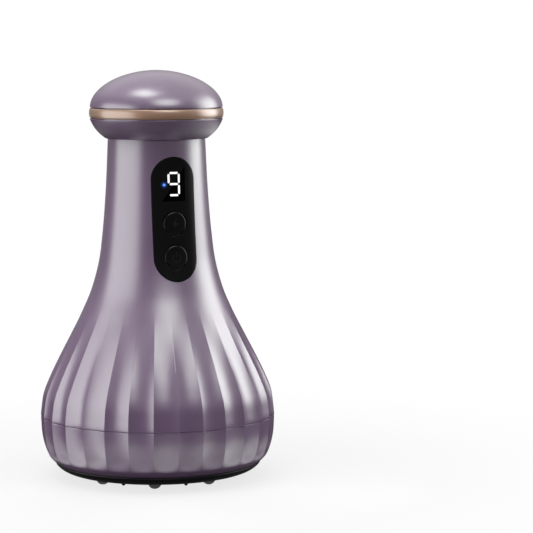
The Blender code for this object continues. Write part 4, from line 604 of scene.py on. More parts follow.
def makeFluteTree():
    # turns a section line round Z and hollows flutes into the points marked "fluted"
    tree = bpy.data.node_groups.new("flutedShell", "GeometryNodeTree")
    start, end = groupSockets(
        tree,
        [("Section", "NodeSocketGeometry", None), ("Rows", "NodeSocketInt", 10),
         ("Flutes", "NodeSocketInt", 30), ("Points per Flute", "NodeSocketInt", 12),
         ("Depth", "NodeSocketFloat", 0.001), ("Turn", "NodeSocketFloat", 0.0),
         ("Foot", "NodeSocketFloat", 0.0), ("Foot Run", "NodeSocketFloat", 0.01),
         ("Head", "NodeSocketFloat", 0.1), ("Head Run", "NodeSocketFloat", 0.01),
         ("Finish", "NodeSocketMaterial", None)],
        [("Shell", "NodeSocketGeometry")])
    need = {s.name: s for s in start.outputs}
    steps = calc(tree, "MULTIPLY", need["Flutes"], need["Points per Flute"])
    grid = wire(tree, "GeometryNodeMeshGrid", links={
        "Vertices X": calc(tree, "ADD", steps, 1.0), "Vertices Y": need["Rows"]})
    index = wire(tree, "GeometryNodeInputIndex").outputs[0]
    column = calc(tree, "FLOOR", calc(tree, "DIVIDE", calc(tree, "ADD", index, 0.5),
                                      need["Rows"]))
    row = calc(tree, "SUBTRACT", index, calc(tree, "MULTIPLY", column, need["Rows"]))
    spot = wire(tree, "GeometryNodeInputPosition").outputs[0]
    point = wire(tree, "GeometryNodeSampleIndex", links={
        "Geometry": need["Section"], "Value": spot, "Index": row}, data_type="FLOAT_VECTOR")
    marked = wire(tree, "GeometryNodeInputNamedAttribute", {"Name": "fluted"}, data_type="FLOAT")
    mark = wire(tree, "GeometryNodeSampleIndex", links={
        "Geometry": need["Section"], "Value": marked.outputs["Attribute"], "Index": row},
        data_type="FLOAT")
    part = wire(tree, "ShaderNodeSeparateXYZ", links={0: point.outputs[0]})
    # columns crowd towards the edges between flutes, so that these stay crisp
    flute = calc(tree, "FLOOR", calc(tree, "DIVIDE", calc(tree, "ADD", column, 0.01),
                                     need["Points per Flute"]))
    share = calc(tree, "SUBTRACT", calc(tree, "DIVIDE", column, need["Points per Flute"]), flute)
    across = calc(tree, "MULTIPLY", calc(tree, "COSINE", calc(tree, "MULTIPLY", share, math.pi)),
                  -1.0)
    turns = calc(tree, "DIVIDE", calc(tree, "ADD", flute, calc(
        tree, "MULTIPLY_ADD", across, 0.5, 0.5)), need["Flutes"])
    angle = calc(tree, "ADD", calc(tree, "MULTIPLY", turns, 2 * math.pi), need["Turn"])
    height = part.outputs[2]
    rising = softStep(tree, height, need["Foot"],
                      calc(tree, "ADD", need["Foot"], need["Foot Run"]))
    fading = softStep(tree, height, need["Head"],
                      calc(tree, "SUBTRACT", need["Head"], need["Head Run"]))
    hollow = calc(tree, "SUBTRACT", 1.0, calc(tree, "MULTIPLY", across, across))
    deep = calc(tree, "MULTIPLY", calc(tree, "MULTIPLY", rising, fading),
                product(tree, hollow, need["Depth"], mark.outputs[0]))
    radius = calc(tree, "SUBTRACT", part.outputs[0], deep)
    where = wire(tree, "ShaderNodeCombineXYZ", links={
        0: calc(tree, "MULTIPLY", radius, calc(tree, "COSINE", angle)),
        1: calc(tree, "MULTIPLY", radius, calc(tree, "SINE", angle)),
        2: height})
    shaped = wire(tree, "GeometryNodeSetPosition", links={
        "Geometry": grid.outputs["Mesh"], "Position": where.outputs[0]})
    joined = wire(tree, "GeometryNodeMergeByDistance", {"Distance": 1e-6},
                  {"Geometry": shaped.outputs[0]})
    return endGeometry(tree, joined.outputs[0], need["Finish"], end)


def sectionPiece(name, outline):
    # (r, z, fluted) points as a line of vertices; the first is repeated at the end
    mesh = bpy.data.meshes.new(name)
    closed = outline + outline[:1]
    mesh.from_pydata([(r, 0, z) for r, z, _ in closed],
                     [(k, k + 1) for k in range(len(closed) - 1)], [])
    marks = mesh.attributes.new("fluted", "FLOAT", "POINT")
    marks.data.foreach_set("value", [float(f) for _, _, f in closed])
    return linkObject(name, mesh), len(closed)


def quarter(steps):
    # the sine and cosine along a quarter of a circle
    return [(math.sin(math.pi / 2 * k / steps), math.cos(math.pi / 2 * k / steps))
            for k in range(steps + 1)]


def seamCorner(s, z, way):
    # the outer corner at the seam; way is +1 for the shell above it
    r = bodyRadius(z)
    return [(r - s["seamRound"] * (1 - sine), z + way * s["seamRound"] * (1 - cosine), 1)
            for sine, cosine in quarter(s["roundSteps"])]


def fluteInputs(s, rows):
    return {"Rows": rows, "Flutes": s["flutes"], "Points per Flute": s["pointsPerFlute"],
            "Depth": s["depth"], "Turn": math.radians(s["turn"] - 90), "Foot": s["fluteFoot"],
            "Foot Run": s["fluteFootRun"], "Head": s["fluteHead"],
            "Head Run": s["fluteHeadRun"], "Finish": materials["pearl_purple"]}


def skinRows(start, end, steps, change):
    # points of the outer skin at one distance below the change and at another above it
    rows = []
    z = start
    while z < end:
        rows.append((bodyRadius(z), z, 1))
        z += steps[0] if z < change else steps[1]
    return rows


def upperSection(s):
    low, top = s["seamZ"] + s["seamGap"] / 2, s["neckTopZ"]
    outline = seamCorner(s, low, 1)
    outline += skinRows(low + s["highStart"], top - s["highEnd"], s["highSteps"],
                        s["highChange"])
    rim = s["rimRound"]
    outline += [(bodyRadius(top) - rim * (1 - cosine), top - rim * (1 - sine), 0)
                for sine, cosine in quarter(s["roundSteps"])]
    outline.append((s["neckBore"], top, 0))
    z = top - s["innerStart"]
    while z > s["innerEnd"]:
        z -= s["innerStep"]
        slack = s["depth"] if z < s["fluteHead"] else 0.0
        outline.append((max(bodyRadius(z) - s["wall"] - slack, s["neckBore"]), z, 0))
    outline.append((bodyRadius(low) - s["wall"] - s["depth"], low, 0))
    return outline


def lowerSection(s):
    top, foot = s["seamZ"] - s["seamGap"] / 2, s["footZ"] - s["drop"]
    outline = [(s["footMiddle"], foot, 0), (bodyRadius(s["footZ"]) - s["footInset"], foot, 0)]
    outline += skinRows(s["footZ"], top - s["lowEnd"], s["lowSteps"],
                        s["footZ"] + s["lowChange"])
    outline += reversed(seamCorner(s, top, -1))
    inner = s["bellyRadius"] - s["wall"] - s["depth"]
    return outline + [(inner, top, 0), (inner, s["kneeZ"], 0), (s["floorEdge"], s["floorZ"], 0),
                      (s["cupHole"], s["floorZ"], 0), (s["cupHole"], s["rebateZ"], 0),
                      (s["rebateRadius"], s["rebateZ"], 0), (s["rebateRadius"], foot, 0)]


def turnShell(name, outline):
    skin, rows = sectionPiece(name, outline)
    runTree(skin, fluteTree, fluteInputs(shell, rows))
    cleanPiece(skin)
    return skin


fluteTree = makeFluteTree()
lowerShell = turnShell("lowerShellSkin", lowerSection(shell))
place(lowerShell, "housing", "pearl_purple", "lower_shell")
upperShell = turnShell("upperShellSkin", upperSection(shell))
print("fluted shells turned")


# Curved plates that follow the neck

platePart = {
    "thick": 0.9 * mm, "mesh": 0.55 * mm, "clear": 0.6, "rimSteps": 4, "sharp": 40.0,
    "seatDepth": 1.15 * mm, "cutterMesh": 1.3 * mm, "cutterReach": 30 * mm,
    "keyDepth": 16 * mm, "keyMiddle": -20 * mm, "fineMesh": 0.4 * mm,
}


def stadiumLoop(width, low, high, inset, steps=28):
    # (x, z) points of a stadium that stands upright
    radius = width / 2 - inset
    top, foot = high - width / 2, low + width / 2
    points = []
    for centre, base in ((top, 0.0), (foot, math.pi)):
        for k in range(steps + 1):
            a = base + math.pi * k / steps
            points.append((radius * math.cos(a), centre + radius * math.sin(a)))
    return points


def circleLoop(x, z, radius, steps=72):
    return [(x + radius * math.cos(2 * math.pi * k / steps),
             z + radius * math.sin(2 * math.pi * k / steps)) for k in range(steps)]


def insideLoop(loop, x, z):
    inside = False
    for (x0, z0), (x1, z1) in zip(loop, loop[1:] + loop[:1]):
        if (z0 > z) != (z1 > z) and x < (x1 - x0) * (z - z0) / (z1 - z0) + x0:
            inside = not inside
    return inside


def nearLoop(loop, x, z, gap):
    return any((px - x) ** 2 + (pz - z) ** 2 < gap * gap for px, pz in loop)


def densify(loop, step, like=None):
    # extra points on the long sides of a loop, as many as on a like loop if one is given
    like = like or loop
    points = []
    for a, b, p, q in zip(like, like[1:] + like[:1], loop, loop[1:] + loop[:1]):
        count = max(1, round(math.hypot(b[0] - a[0], b[1] - a[1]) / step))
        points += [(p[0] + (q[0] - p[0]) * k / count, p[1] + (q[1] - p[1]) * k / count)
                   for k in range(count)]
    return points


def insidePoints(loop, holes, step):
    # a square grid of points within a loop, clear of it and of the holes
    xs, zs = [p[0] for p in loop], [p[1] for p in loop]
    clear = step * platePart["clear"]
    points = []
    x = min(xs) + step / 2
    while x < max(xs):
        z = min(zs) + step / 2
        while z < max(zs):
            if (insideLoop(loop, x, z) and not nearLoop(loop, x, z, clear)
                    and not any(insideLoop(hole, x, z) or nearLoop(hole, x, z, clear)
                                for hole in holes)):
                points.append((x, z))
            z += step
        x += step
    return points


def fillLoops(loops, extra=()):
    # triangles over closed loops and any points between them
    flat, edges = [], []
    for loop in loops:
        base = len(flat)
        flat += loop
        edges += [(base + k, base + (k + 1) % len(loop)) for k in range(len(loop))]
    spots, _, faces, _, _, _ = delaunay_2d_cdt([Vector(p) for p in flat + list(extra)], edges,
                                               [], 1, 1e-9)
    return spots, faces


def onNeck(x, z, offset, facing):
    # a point on the neck's own surface, in front (-1) or at the back (+1)
    r = bodyRadius(z) + offset
    return Vector((x, facing * math.sqrt(max(r * r - x * x, 0)), z))


def curvedPlate(name, outer, holes, material, rim, facing=-1, offset=0.0,
                thick=platePart["thick"], mesh=platePart["mesh"]):
    # outer and holes are functions of an inset that give loops of (x, z)
    loops = [densify(outer(rim), mesh)] + [hole(rim) for hole in holes]
    spots, faces = fillLoops(loops, insidePoints(loops[0], loops[1:], mesh))
    work = bmesh.new()
    front = [work.verts.new(onNeck(x, z, offset, facing)) for x, z in spots]
    keep = []
    for face in faces:
        middle = [sum(spots[k][axis] for k in face) / len(face) for axis in (0, 1)]
        if not any(insideLoop(loop, *middle) for loop in loops[1:]):
            keep.append(face)
            work.faces.new([front[k] for k in face])
    # the rounded rim and the wall, from the face backwards
    rows = [(rim * (1 - sine), rim * (1 - cosine))
            for sine, cosine in quarter(platePart["rimSteps"])[1:]] + [(0.0, thick)]
    backs = []
    for loop, make in zip(loops, [outer] + holes):
        ring = front[len(backs):len(backs) + len(loop)]
        for inset, drop in rows:
            points = make(inset)
            if make is outer:
                points = densify(points, mesh, make(rim))
            following = [work.verts.new(onNeck(x, z, offset - drop, facing)) for x, z in points]
            joinRings(work, ring, following)
            ring = following
        backs += ring
    backs += [work.verts.new(onNeck(x, z, offset - thick, facing))
              for x, z in spots[len(backs):]]
    for face in keep:
        work.faces.new([backs[k] for k in reversed(face)])
    return addPiece(name, work, material, platePart["sharp"])


def plateCutter(p, facing):
    # a block over a stadium on the neck, to cut the plate's seat along the neck's own curve
    gap, step = p["seatGap"], platePart["cutterMesh"]
    loop = densify(stadiumLoop(p["width"] + 2 * gap, p["low"] - gap, p["high"] + gap, 0.0), step)
    inner = []
    x = step / 2 - p["width"] / 2
    while x < p["width"] / 2:
        z = p["low"]
        while z < p["high"]:
            if insideLoop(loop, x, z) and not nearLoop(loop, x, z, step * platePart["clear"]):
                inner.append((x, z))
            z += step
        x += step
    spots, faces = fillLoops([loop], inner)
    work = bmesh.new()
    seat = [work.verts.new(onNeck(x, z, -platePart["seatDepth"], facing)) for x, z in spots]
    out = [work.verts.new((x, facing * platePart["cutterReach"], z)) for x, z in spots]
    for face in faces:
        work.faces.new([seat[k] for k in face])
        work.faces.new([out[k] for k in reversed(face)])
    joinRings(work, seat[:len(loop)], out[:len(loop)])
    return work


def keyCutter(z, radius):
    # the round hole behind a key, from inside the neck out to the plate's seat
    work = bmesh.new()
    bmesh.ops.create_cone(work, cap_ends=True, segments=48, radius1=radius, radius2=radius,
                          depth=platePart["keyDepth"],
                          matrix=Matrix.Translation((0, platePart["keyMiddle"], z))
                          @ Matrix.Rotation(math.pi / 2, 4, "X"))
    return work


# Control panel: a black gloss plate, its window and the lit digit

panel = {
    "width": 15.8 * mm, "low": 72.0 * mm, "high": 115.5 * mm, "rim": 0.16 * mm,
    "seatGap": 0.10 * mm,
    "modeZ": 92.15 * mm, "powerZ": 80.5 * mm, "buttonRadius": 4.15 * mm,
    "buttonGap": 0.22 * mm, "buttonRim": 0.30 * mm, "buttonSink": 0.05 * mm,
    "buttonThick": 1.7 * mm, "buttonMesh": 0.5 * mm,
    "digitZ": 106.05 * mm, "digitX": -0.1 * mm, "digitWidth": 4.5 * mm, "digitHeight": 8.45 * mm,
    "stroke": 0.72 * mm, "split": 0.28 * mm, "noseShare": 0.42,
    "lampX": -3.6 * mm, "lampZ": 105.8 * mm, "lampCore": 0.45 * mm, "lampHalo": 1.75 * mm,
    "litLow": -0.30 * mm, "litHigh": 0.012 * mm,
    # the display window, and the slope and softness of the diagonal edge of its painted reflection
    "windowX": -0.2 * mm, "windowHalf": 4.4 * mm, "windowRise": 6.0 * mm,
    "reflectionSlope": 1.42, "reflectionSoft": 0.25 * mm,
    "darkTone": (0.0074, 0.0074, 0.0076), "paleTone": (0.0088, 0.0088, 0.0090),
    "windowTone": (0.0002, 0.0002, 0.0003), "haloTone": (0.01, 0.06, 0.30), "haloFall": 1.6,
    "roughness": 0.20, "smear": 0.04, "gloss": 0.05,
    "grain": 0.8, "drift": 1.5, "bump": 0.3, "bumpHeight": 0.005 * mm,
}


def makePanelBlack(p):
    # gloss black with the darker display window, a painted reflection over the window's upper left,
    # and the lamp's blue halo shining through
    material, tree, shader = startMaterial("panelBlack", Specular_IOR_Level=p["gloss"],
                                           Emission_Strength=1.0)
    grain = useGroup(tree, fineGrain, Scale=p["grain"], Drift_Scale=p["drift"])
    tone = blendColors(tree, grain.outputs["Drift"], p["darkTone"], p["paleTone"])
    split = wire(tree, "ShaderNodeSeparateXYZ", links={0: objectPoint(tree)})
    x = calc(tree, "SUBTRACT", split.outputs[0], p["windowX"])
    z = calc(tree, "SUBTRACT", split.outputs[2], p["digitZ"])
    inX = calc(tree, "LESS_THAN", calc(tree, "ABSOLUTE", x), p["windowHalf"])
    inZ = calc(tree, "LESS_THAN", calc(tree, "ABSOLUTE", z), p["windowRise"])
    # the window's own deeper black shows only in its lower right half; the upper left half keeps the
    # panel's tone as a painted reflection, with a diagonal edge
    side = calc(tree, "SUBTRACT", calc(tree, "MULTIPLY", x, p["reflectionSlope"]), z)
    deep = product(tree, inX, inZ, softStep(tree, side, -p["reflectionSoft"], p["reflectionSoft"]))
    mix = wire(tree, "ShaderNodeMix", {7: (*p["windowTone"], 1)}, {0: deep, 6: tone},
               data_type="RGBA")
    tree.links.new(mix.outputs[2], shader.inputs["Base Color"])
    away = lengthOf(tree, calc(tree, "SUBTRACT", split.outputs[0], p["lampX"]),
                    calc(tree, "SUBTRACT", split.outputs[2], p["lampZ"]))
    halo = wire(tree, "ShaderNodeMapRange", {"From Min": p["lampHalo"], "From Max": 0.0},
                {"Value": away}, interpolation_type="SMOOTHERSTEP")
    front = calc(tree, "LESS_THAN", split.outputs[1], 0.0)
    glow = calc(tree, "MULTIPLY", calc(tree, "POWER", halo.outputs[0], p["haloFall"]), front)
    tree.links.new(blendColors(tree, glow, (0, 0, 0), p["haloTone"]),
                   shader.inputs["Emission Color"])
    handleMarks(tree, shader, p["roughness"], p["smear"])
    bumpFrom(tree, shader, grain.outputs["Height"], p["bump"], p["bumpHeight"])
    return material


def segment(p, x0, z0, x1, z1):
    # one bar of the digit with pointed ends, from end to end
    along = Vector((x1 - x0, z1 - z0)).normalized()
    side = Vector((-along.y, along.x)) * p["stroke"] / 2
    nose = along * p["stroke"] * p["noseShare"]
    a, b = Vector((x0, z0)), Vector((x1, z1))
    return [tuple(v) for v in (a, a + nose + side, b - nose + side, b, b - nose - side,
                               a + nose - side)]


def shortPlate(work, loop, low, high, facing=-1):
    # a small flat outline laid on the neck, from one offset to another
    loop = densify(loop, platePart["fineMesh"])
    spots, faces = fillLoops([loop])
    top = [work.verts.new(onNeck(x, z, high, facing)) for x, z in spots]
    foot = [work.verts.new(onNeck(x, z, low, facing)) for x, z in spots]
    for face in faces:
        work.faces.new([top[k] for k in face])
        work.faces.new([foot[k] for k in reversed(face)])
    joinRings(work, top[:len(loop)], foot[:len(loop)])


def digitNine(p):
    # segments a, b, c, d, f and g of a seven-segment 9
    half, rise = (p["digitWidth"] - p["stroke"]) / 2, (p["digitHeight"] - p["stroke"]) / 2
    x, z, s = p["digitX"], p["digitZ"], p["split"]
    bars = [(-half + s, rise, half - s, rise), (half, rise - s, half, s),
            (half, -s, half, -rise + s), (-half + s, -rise, half - s, -rise),
            (-half, rise - s, -half, s), (-half + s, 0, half - s, 0)]
    work = bmesh.new()
    for x0, z0, x1, z1 in bars:
        shortPlate(work, segment(p, x + x0, z + z0, x + x1, z + z1), p["litLow"], p["litHigh"])
    return addPiece("displayDigit", work, digitWhite)


def buildPanel(p):
    materials["panel_black"] = makePanelBlack(p)
    hole = p["buttonRadius"] + p["buttonGap"]
    plate = curvedPlate(
        "panelPlate", lambda inset: stadiumLoop(p["width"], p["low"], p["high"], inset),
        [lambda inset, z=z: circleLoop(0, z, hole + inset) for z in (p["modeZ"], p["powerZ"])],
        materials["panel_black"], p["rim"])
    place(plate, "housing", "panel_black", "control_panel", "display_module")
    for key in ("mode", "power"):
        cap = curvedPlate(
            key + "KeyCap", lambda inset: circleLoop(0, p[key + "Z"], p["buttonRadius"] - inset),
            [], materials["button_black"], p["buttonRim"], offset=-p["buttonSink"],
            thick=p["buttonThick"], mesh=p["buttonMesh"])
        place(cap, key + "_key", "button_black", key + "_button")
    place(digitNine(p), "housing", "display_dark")
    lamp = bmesh.new()
    shortPlate(lamp, circleLoop(p["lampX"], p["lampZ"], p["lampCore"], 20), p["litLow"],
               p["litHigh"])
    place(addPiece("statusLamp", lamp, materials["lamp_blue"]), "housing", "lamp_blue",
          "status_lamp")


# Marks on the two buttons: a bolt and the usual power sign, both barely lighter than black

keyMarks = {
    "size": 1.7 * mm, "line": 0.34 * mm, "low": -0.30 * mm, "high": -0.035 * mm,
    "tone": (0.009, 0.009, 0.0095), "roughness": 0.5, "gloss": 0.1,
    # the bolt's corners, and the arc and bar of the power sign, as shares of the size
    "bolt": [(0.25, 1.0), (-0.75, -0.10), (-0.10, -0.10), (-0.35, -1.0), (0.75, 0.15),
             (0.08, 0.15)],
    "arcMiddle": -0.1, "arcRadius": 0.9, "arcStart": 38, "arcSweep": 284, "bar": (0.05, 1.05),
}


def arcBand(z, radius, line, start, sweep, steps=24):
    # a band along an arc, its angles measured from straight up
    def side(reach):
        turns = [math.radians(start + sweep * k / steps) for k in range(steps + 1)]
        return [(reach * math.sin(a), z + reach * math.cos(a)) for a in turns]

    return side(radius + line / 2) + side(radius - line / 2)[::-1]


def buildMarks(m, p):
    ink = makePlastic("markInk", m["tone"], m["roughness"], Specular_IOR_Level=m["gloss"])
    size, line = m["size"], m["line"]
    z = p["powerZ"]
    low, high = (z + size * share for share in m["bar"])
    shapes = {
        "mode": [[(x * size, p["modeZ"] + y * size) for x, y in m["bolt"]]],
        "power": [arcBand(z + m["arcMiddle"] * size, m["arcRadius"] * size, line, m["arcStart"],
                          m["arcSweep"]),
                  [(-line / 2, high), (-line / 2, low), (line / 2, low), (line / 2, high)]],
    }
    for key, loops in shapes.items():
        work = bmesh.new()
        for loop in loops:
            shortPlate(work, loop, m["low"], m["high"])
        place(addPiece(key + "Mark", work, ink), key + "_key", "button_black")


# Back badge, a bare rose gold plate, and the charging socket under it

back = {
    "width": 12.0 * mm, "low": 76.4 * mm, "high": 114.4 * mm, "rim": 0.2 * mm,
    "seatGap": 0.08 * mm,
    "portZ": 67.2 * mm, "portHalf": 4.5 * mm, "portRise": 1.6 * mm, "portLength": 6.0 * mm,
    "portWall": 0.4 * mm, "portSink": 0.8 * mm, "portFloor": 1.2 * mm, "portGap": 0.25 * mm,
    "portLip": 0.12 * mm, "lipShares": (0.985, 0.97), "slotReach": (12 * mm, 34 * mm),
    "tongueHalf": 3.3 * mm, "tongueRise": 0.35 * mm, "tongueRoot": 1.1 * mm,
    "tongueTip": 0.6 * mm, "tongueRound": 0.12 * mm,
    "contacts": 8, "contactPitch": 0.72 * mm, "contactSize": (0.28 * mm, 2.6 * mm, 0.06 * mm),
    "contactIn": 2.2 * mm, "contactUp": 0.355 * mm,
}


def flatStadium(half, rise, steps=12):
    # (x, z) points of a stadium that lies along X
    points = []
    for centre, base in ((half - rise, -math.pi / 2), (-(half - rise), math.pi / 2)):
        points += [(centre + rise * math.cos(base + math.pi * k / steps),
                    rise * math.sin(base + math.pi * k / steps)) for k in range(steps + 1)]
    return points


def ringAt(work, loop, y, z):
    return [work.verts.new((px, y, z + pz)) for px, pz in loop]


def socketShell(b, mouth):
    # an outline and a hollow of it, closed at the far end
    work = bmesh.new()
    outer = flatStadium(b["portHalf"], b["portRise"])
    inner = flatStadium(b["portHalf"] - b["portWall"], b["portRise"] - b["portWall"])
    wide, tall = b["lipShares"]
    lip = [(px * wide, pz * tall) for px, pz in outer]
    end = mouth - b["portLength"]
    rings = [ringAt(work, loop, y, b["portZ"]) for loop, y in (
        (outer, end), (outer, mouth - b["portLip"]), (lip, mouth), (inner, mouth),
        (inner, end + b["portFloor"]))]
    for first, second in zip(rings, rings[1:]):
        joinRings(work, first, second)
    work.faces.new(rings[0])
    work.faces.new(rings[-1])
    return work


def portCutter(b):
    # the slot for the socket through the shell's wall
    work = bmesh.new()
    loop = flatStadium(b["portHalf"] + b["portGap"], b["portRise"] + b["portGap"])
    near, far = (ringAt(work, loop, y, b["portZ"]) for y in b["slotReach"])
    joinRings(work, near, far)
    work.faces.new(near)
    work.faces.new(far)
    return work


def slab(middle, size):
    work = bmesh.new()
    bmesh.ops.create_cube(work, size=1, matrix=Matrix.Translation(middle)
                          @ Matrix.Diagonal((*size, 1)))
    return work


def buildBack(b):
    badge = curvedPlate(
        "backBadge", lambda inset: stadiumLoop(b["width"], b["low"], b["high"], inset),
        [], materials["rose_gold"], b["rim"], facing=1)
    place(badge, "housing", "rose_gold", "back_badge")
    mouth = math.sqrt(bodyRadius(b["portZ"] + b["portRise"]) ** 2
                      - b["portHalf"] ** 2) - b["portSink"]
    place(addPiece("chargingSocket", socketShell(b, mouth), materials["motor_steel"]),
          "housing", "motor_steel", "charging_port")
    low, high = mouth - b["portLength"] + b["tongueRoot"], mouth - b["tongueTip"]
    tongue = slab((0, (low + high) / 2, b["portZ"]),
                  (2 * b["tongueHalf"], high - low, 2 * b["tongueRise"]))
    bmesh.ops.bevel(tongue, geom=tongue.edges[:], offset=b["tongueRound"], segments=2,
                    affect="EDGES")
    place(addPiece("socketTongue", tongue, materials["chip_black"]), "housing", "chip_black")
    strip = slab((0, mouth - b["contactIn"], b["portZ"] + b["contactUp"]), b["contactSize"])
    contacts = addPiece("socketContacts", strip, materials["brass"])
    runTree(contacts, makeRowTree(), {"Count": b["contacts"], "Pitch": b["contactPitch"],
                                      "Finish": materials["brass"]})
    place(contacts, "housing", "brass")


def makeRowTree():
    # copies in a row along X, centred on the axis
    tree = bpy.data.node_groups.new("copiesInRow", "GeometryNodeTree")
    start, end = groupSockets(
        tree,
        [("Part", "NodeSocketGeometry", None), ("Count", "NodeSocketInt", 4),
         ("Pitch", "NodeSocketFloat", 0.001), ("Finish", "NodeSocketMaterial", None)],
        [("Row", "NodeSocketGeometry")])
    need = {s.name: s for s in start.outputs}
    offset = wire(tree, "ShaderNodeCombineXYZ", links={0: need["Pitch"]})
    firstX = product(tree, calc(tree, "SUBTRACT", need["Count"], 1.0), need["Pitch"], -0.5)
    first = wire(tree, "ShaderNodeCombineXYZ", links={0: firstX})
    line = wire(tree, "GeometryNodeMeshLine", links={
        "Count": need["Count"], "Start Location": first.outputs[0],
        "Offset": offset.outputs[0]})
    copies = wire(tree, "GeometryNodeInstanceOnPoints", links={
        "Points": line.outputs[0], "Instance": need["Part"]})
    return endGeometry(tree, copies.outputs[0], need["Finish"], end)


buildPanel(panel)
buildMarks(keyMarks, panel)
buildBack(back)
cutOut(upperShell, plateCutter(panel, -1), plateCutter(back, 1), portCutter(back),
       *[keyCutter(z, panel["buttonRadius"] + panel["buttonGap"])
         for z in (panel["modeZ"], panel["powerZ"])])
place(upperShell, "housing", "pearl_purple", "upper_shell")
print("panel, buttons and badge laid on the neck")


# Release knob: bowl, rose gold band and dome, with the spring inside

knob = {
    "lipZ": 121.4 * mm, "lipRadius": 17.7 * mm, "lipInset": 0.4 * mm, "lipRound": 0.35 * mm,
    "lipHeight": 2.9 * mm, "lipWall": 1.7 * mm,
    "radius": 23.68 * mm, "bowlHeight": 7.0 * mm, "bulge": 0.75 * mm, "bowlRound": 0.25 * mm,
    "wall": 1.6 * mm, "curveSteps": 24,
    "bandZ": 128.7 * mm, "bandHeight": 3.4 * mm, "bandProud": 0.2 * mm, "bandThick": 1.4 * mm,
    "bandCrown": 0.28 * mm, "bandEdge": 0.12 * mm, "edgePower": 10,
    # the bowl's collar, which the band and the dome sit on
    "collarGap": 0.3 * mm, "collarWall": 1.1 * mm, "collarRise": 3.4 * mm,
    "collarRound": 0.1 * mm,
    "domeZ": 132.4 * mm, "domeHeight": 13.1 * mm, "domePower": 1.045, "domeRadius": 23.58 * mm,
    "domeInset": 0.15 * mm, "domeLift": 0.12 * mm, "domeSteps": 48, "hollowSteps": 12,
    "skirtInset": 2.9 * mm, "skirtDrop": 2.8 * mm, "skirtWall": 1.1 * mm,
    "springFoot": 126.5 * mm, "springRadius": 4.4 * mm,
    "springWire": 0.45 * mm, "springTurns": 5.0, "travel": 2.0 * mm,
    "sides": 160,
}


def buildBowl(k):
    top = k["lipZ"] + k["bowlHeight"]
    start = Vector((k["lipRadius"] + k["lipInset"], k["lipZ"]))
    run = Vector((k["radius"], top)) - start
    outward = Vector((run.y, -run.x)).normalized() * k["bulge"]
    curve = []
    for step in range(k["curveSteps"] + 1):
        share = step / k["curveSteps"]
        point = start + run * share + outward * 4 * share * (1 - share)
        curve.append((point.x, point.y, k["bowlRound"] if share == 1 else 0.0))
    collar = k["radius"] + k["bandProud"] - k["bandThick"] - k["collarGap"]
    inner, rim = collar - k["collarWall"], top + k["collarRise"]
    lipTop = k["lipZ"] + k["lipHeight"]
    outline = [(k["lipRadius"], k["lipZ"], k["lipRound"])] + curve + [
        (collar, top, 0), (collar, rim, k["collarRound"]), (inner, rim, k["collarRound"]),
        (inner, top - k["wall"], 0), (k["lipRadius"] + k["lipWall"], lipTop, 0),
        (k["lipRadius"], lipTop, 0)]
    bowl = addPiece("knobBowl", turned(filleted(outline), k["sides"]), materials["pearl_purple"])
    place(bowl, "knob", "pearl_purple", "knob_bowl")


def buildBand(k):
    # the band's face is crowned: fullest at its middle
    outer, low, high = k["radius"] + k["bandProud"], k["bandZ"], k["bandZ"] + k["bandHeight"]
    ring = [(outer - k["bandThick"], low)]
    for step in range(k["curveSteps"] + 1):
        share = step / k["curveSteps"]
        across = 2 * share - 1
        sink = k["bandCrown"] * across ** 2 + k["bandEdge"] * abs(across) ** k["edgePower"]
        ring.append((outer - sink, low + k["bandHeight"] * share))
    ring.append((outer - k["bandThick"], high))
    band = addPiece("knobBand", turned(ring, k["sides"]), materials["rose_gold"])
    place(band, "knob", "rose_gold", "knob_band")


def buildDome(k):
    foot, top = k["domeZ"], k["domeHeight"]
    outline = [(k["domeRadius"] - k["domeInset"], foot), (k["domeRadius"], foot + k["domeLift"])]
    outline += [(k["domeRadius"] * cosine ** k["domePower"], foot + top * sine ** k["domePower"])
                for sine, cosine in quarter(k["domeSteps"])[1:-1]]
    outline.append((0, foot + top))
    inner = k["domeRadius"] - k["skirtInset"]
    outline += [(inner * sine, foot + (top - k["wall"]) * cosine)
                for sine, cosine in quarter(k["hollowSteps"])]
    skirt = inner + k["skirtWall"]
    outline += [(inner, foot - k["skirtDrop"]), (skirt, foot - k["skirtDrop"]), (skirt, foot)]
    dome = addPiece("knobDome", turned(outline, k["sides"]), materials["pearl_purple"])
    place(dome, "knob", "pearl_purple", "knob_dome")


def makeSpringTree():
    # a round wire along a spiral
    tree = bpy.data.node_groups.new("coilSpring", "GeometryNodeTree")
    start, end = groupSockets(
        tree,
        [("Base", "NodeSocketGeometry", None), ("Turns", "NodeSocketFloat", 5.0),
         ("Radius", "NodeSocketFloat", 0.004), ("Height", "NodeSocketFloat", 0.01),
         ("Foot", "NodeSocketFloat", 0.0), ("Wire", "NodeSocketFloat", 0.0005),
         ("Finish", "NodeSocketMaterial", None)],
        [("Spring", "NodeSocketGeometry")])
    need = {s.name: s for s in start.outputs}
    spiral = wire(tree, "GeometryNodeCurveSpiral", {"Resolution": 36}, {
        "Rotations": need["Turns"], "Start Radius": need["Radius"], "End Radius": need["Radius"],
        "Height": need["Height"]})
    circle = wire(tree, "GeometryNodeCurvePrimitiveCircle", {"Resolution": 12},
                  {"Radius": need["Wire"]})
    swept = wire(tree, "GeometryNodeCurveToMesh", {"Fill Caps": True}, {
        "Curve": spiral.outputs[0], "Profile Curve": circle.outputs[0]})
    lift = wire(tree, "ShaderNodeCombineXYZ", links={2: need["Foot"]})
    raised = wire(tree, "GeometryNodeSetPosition", links={
        "Geometry": swept.outputs[0], "Offset": lift.outputs[0]})
    return endGeometry(tree, raised.outputs[0], need["Finish"], end)


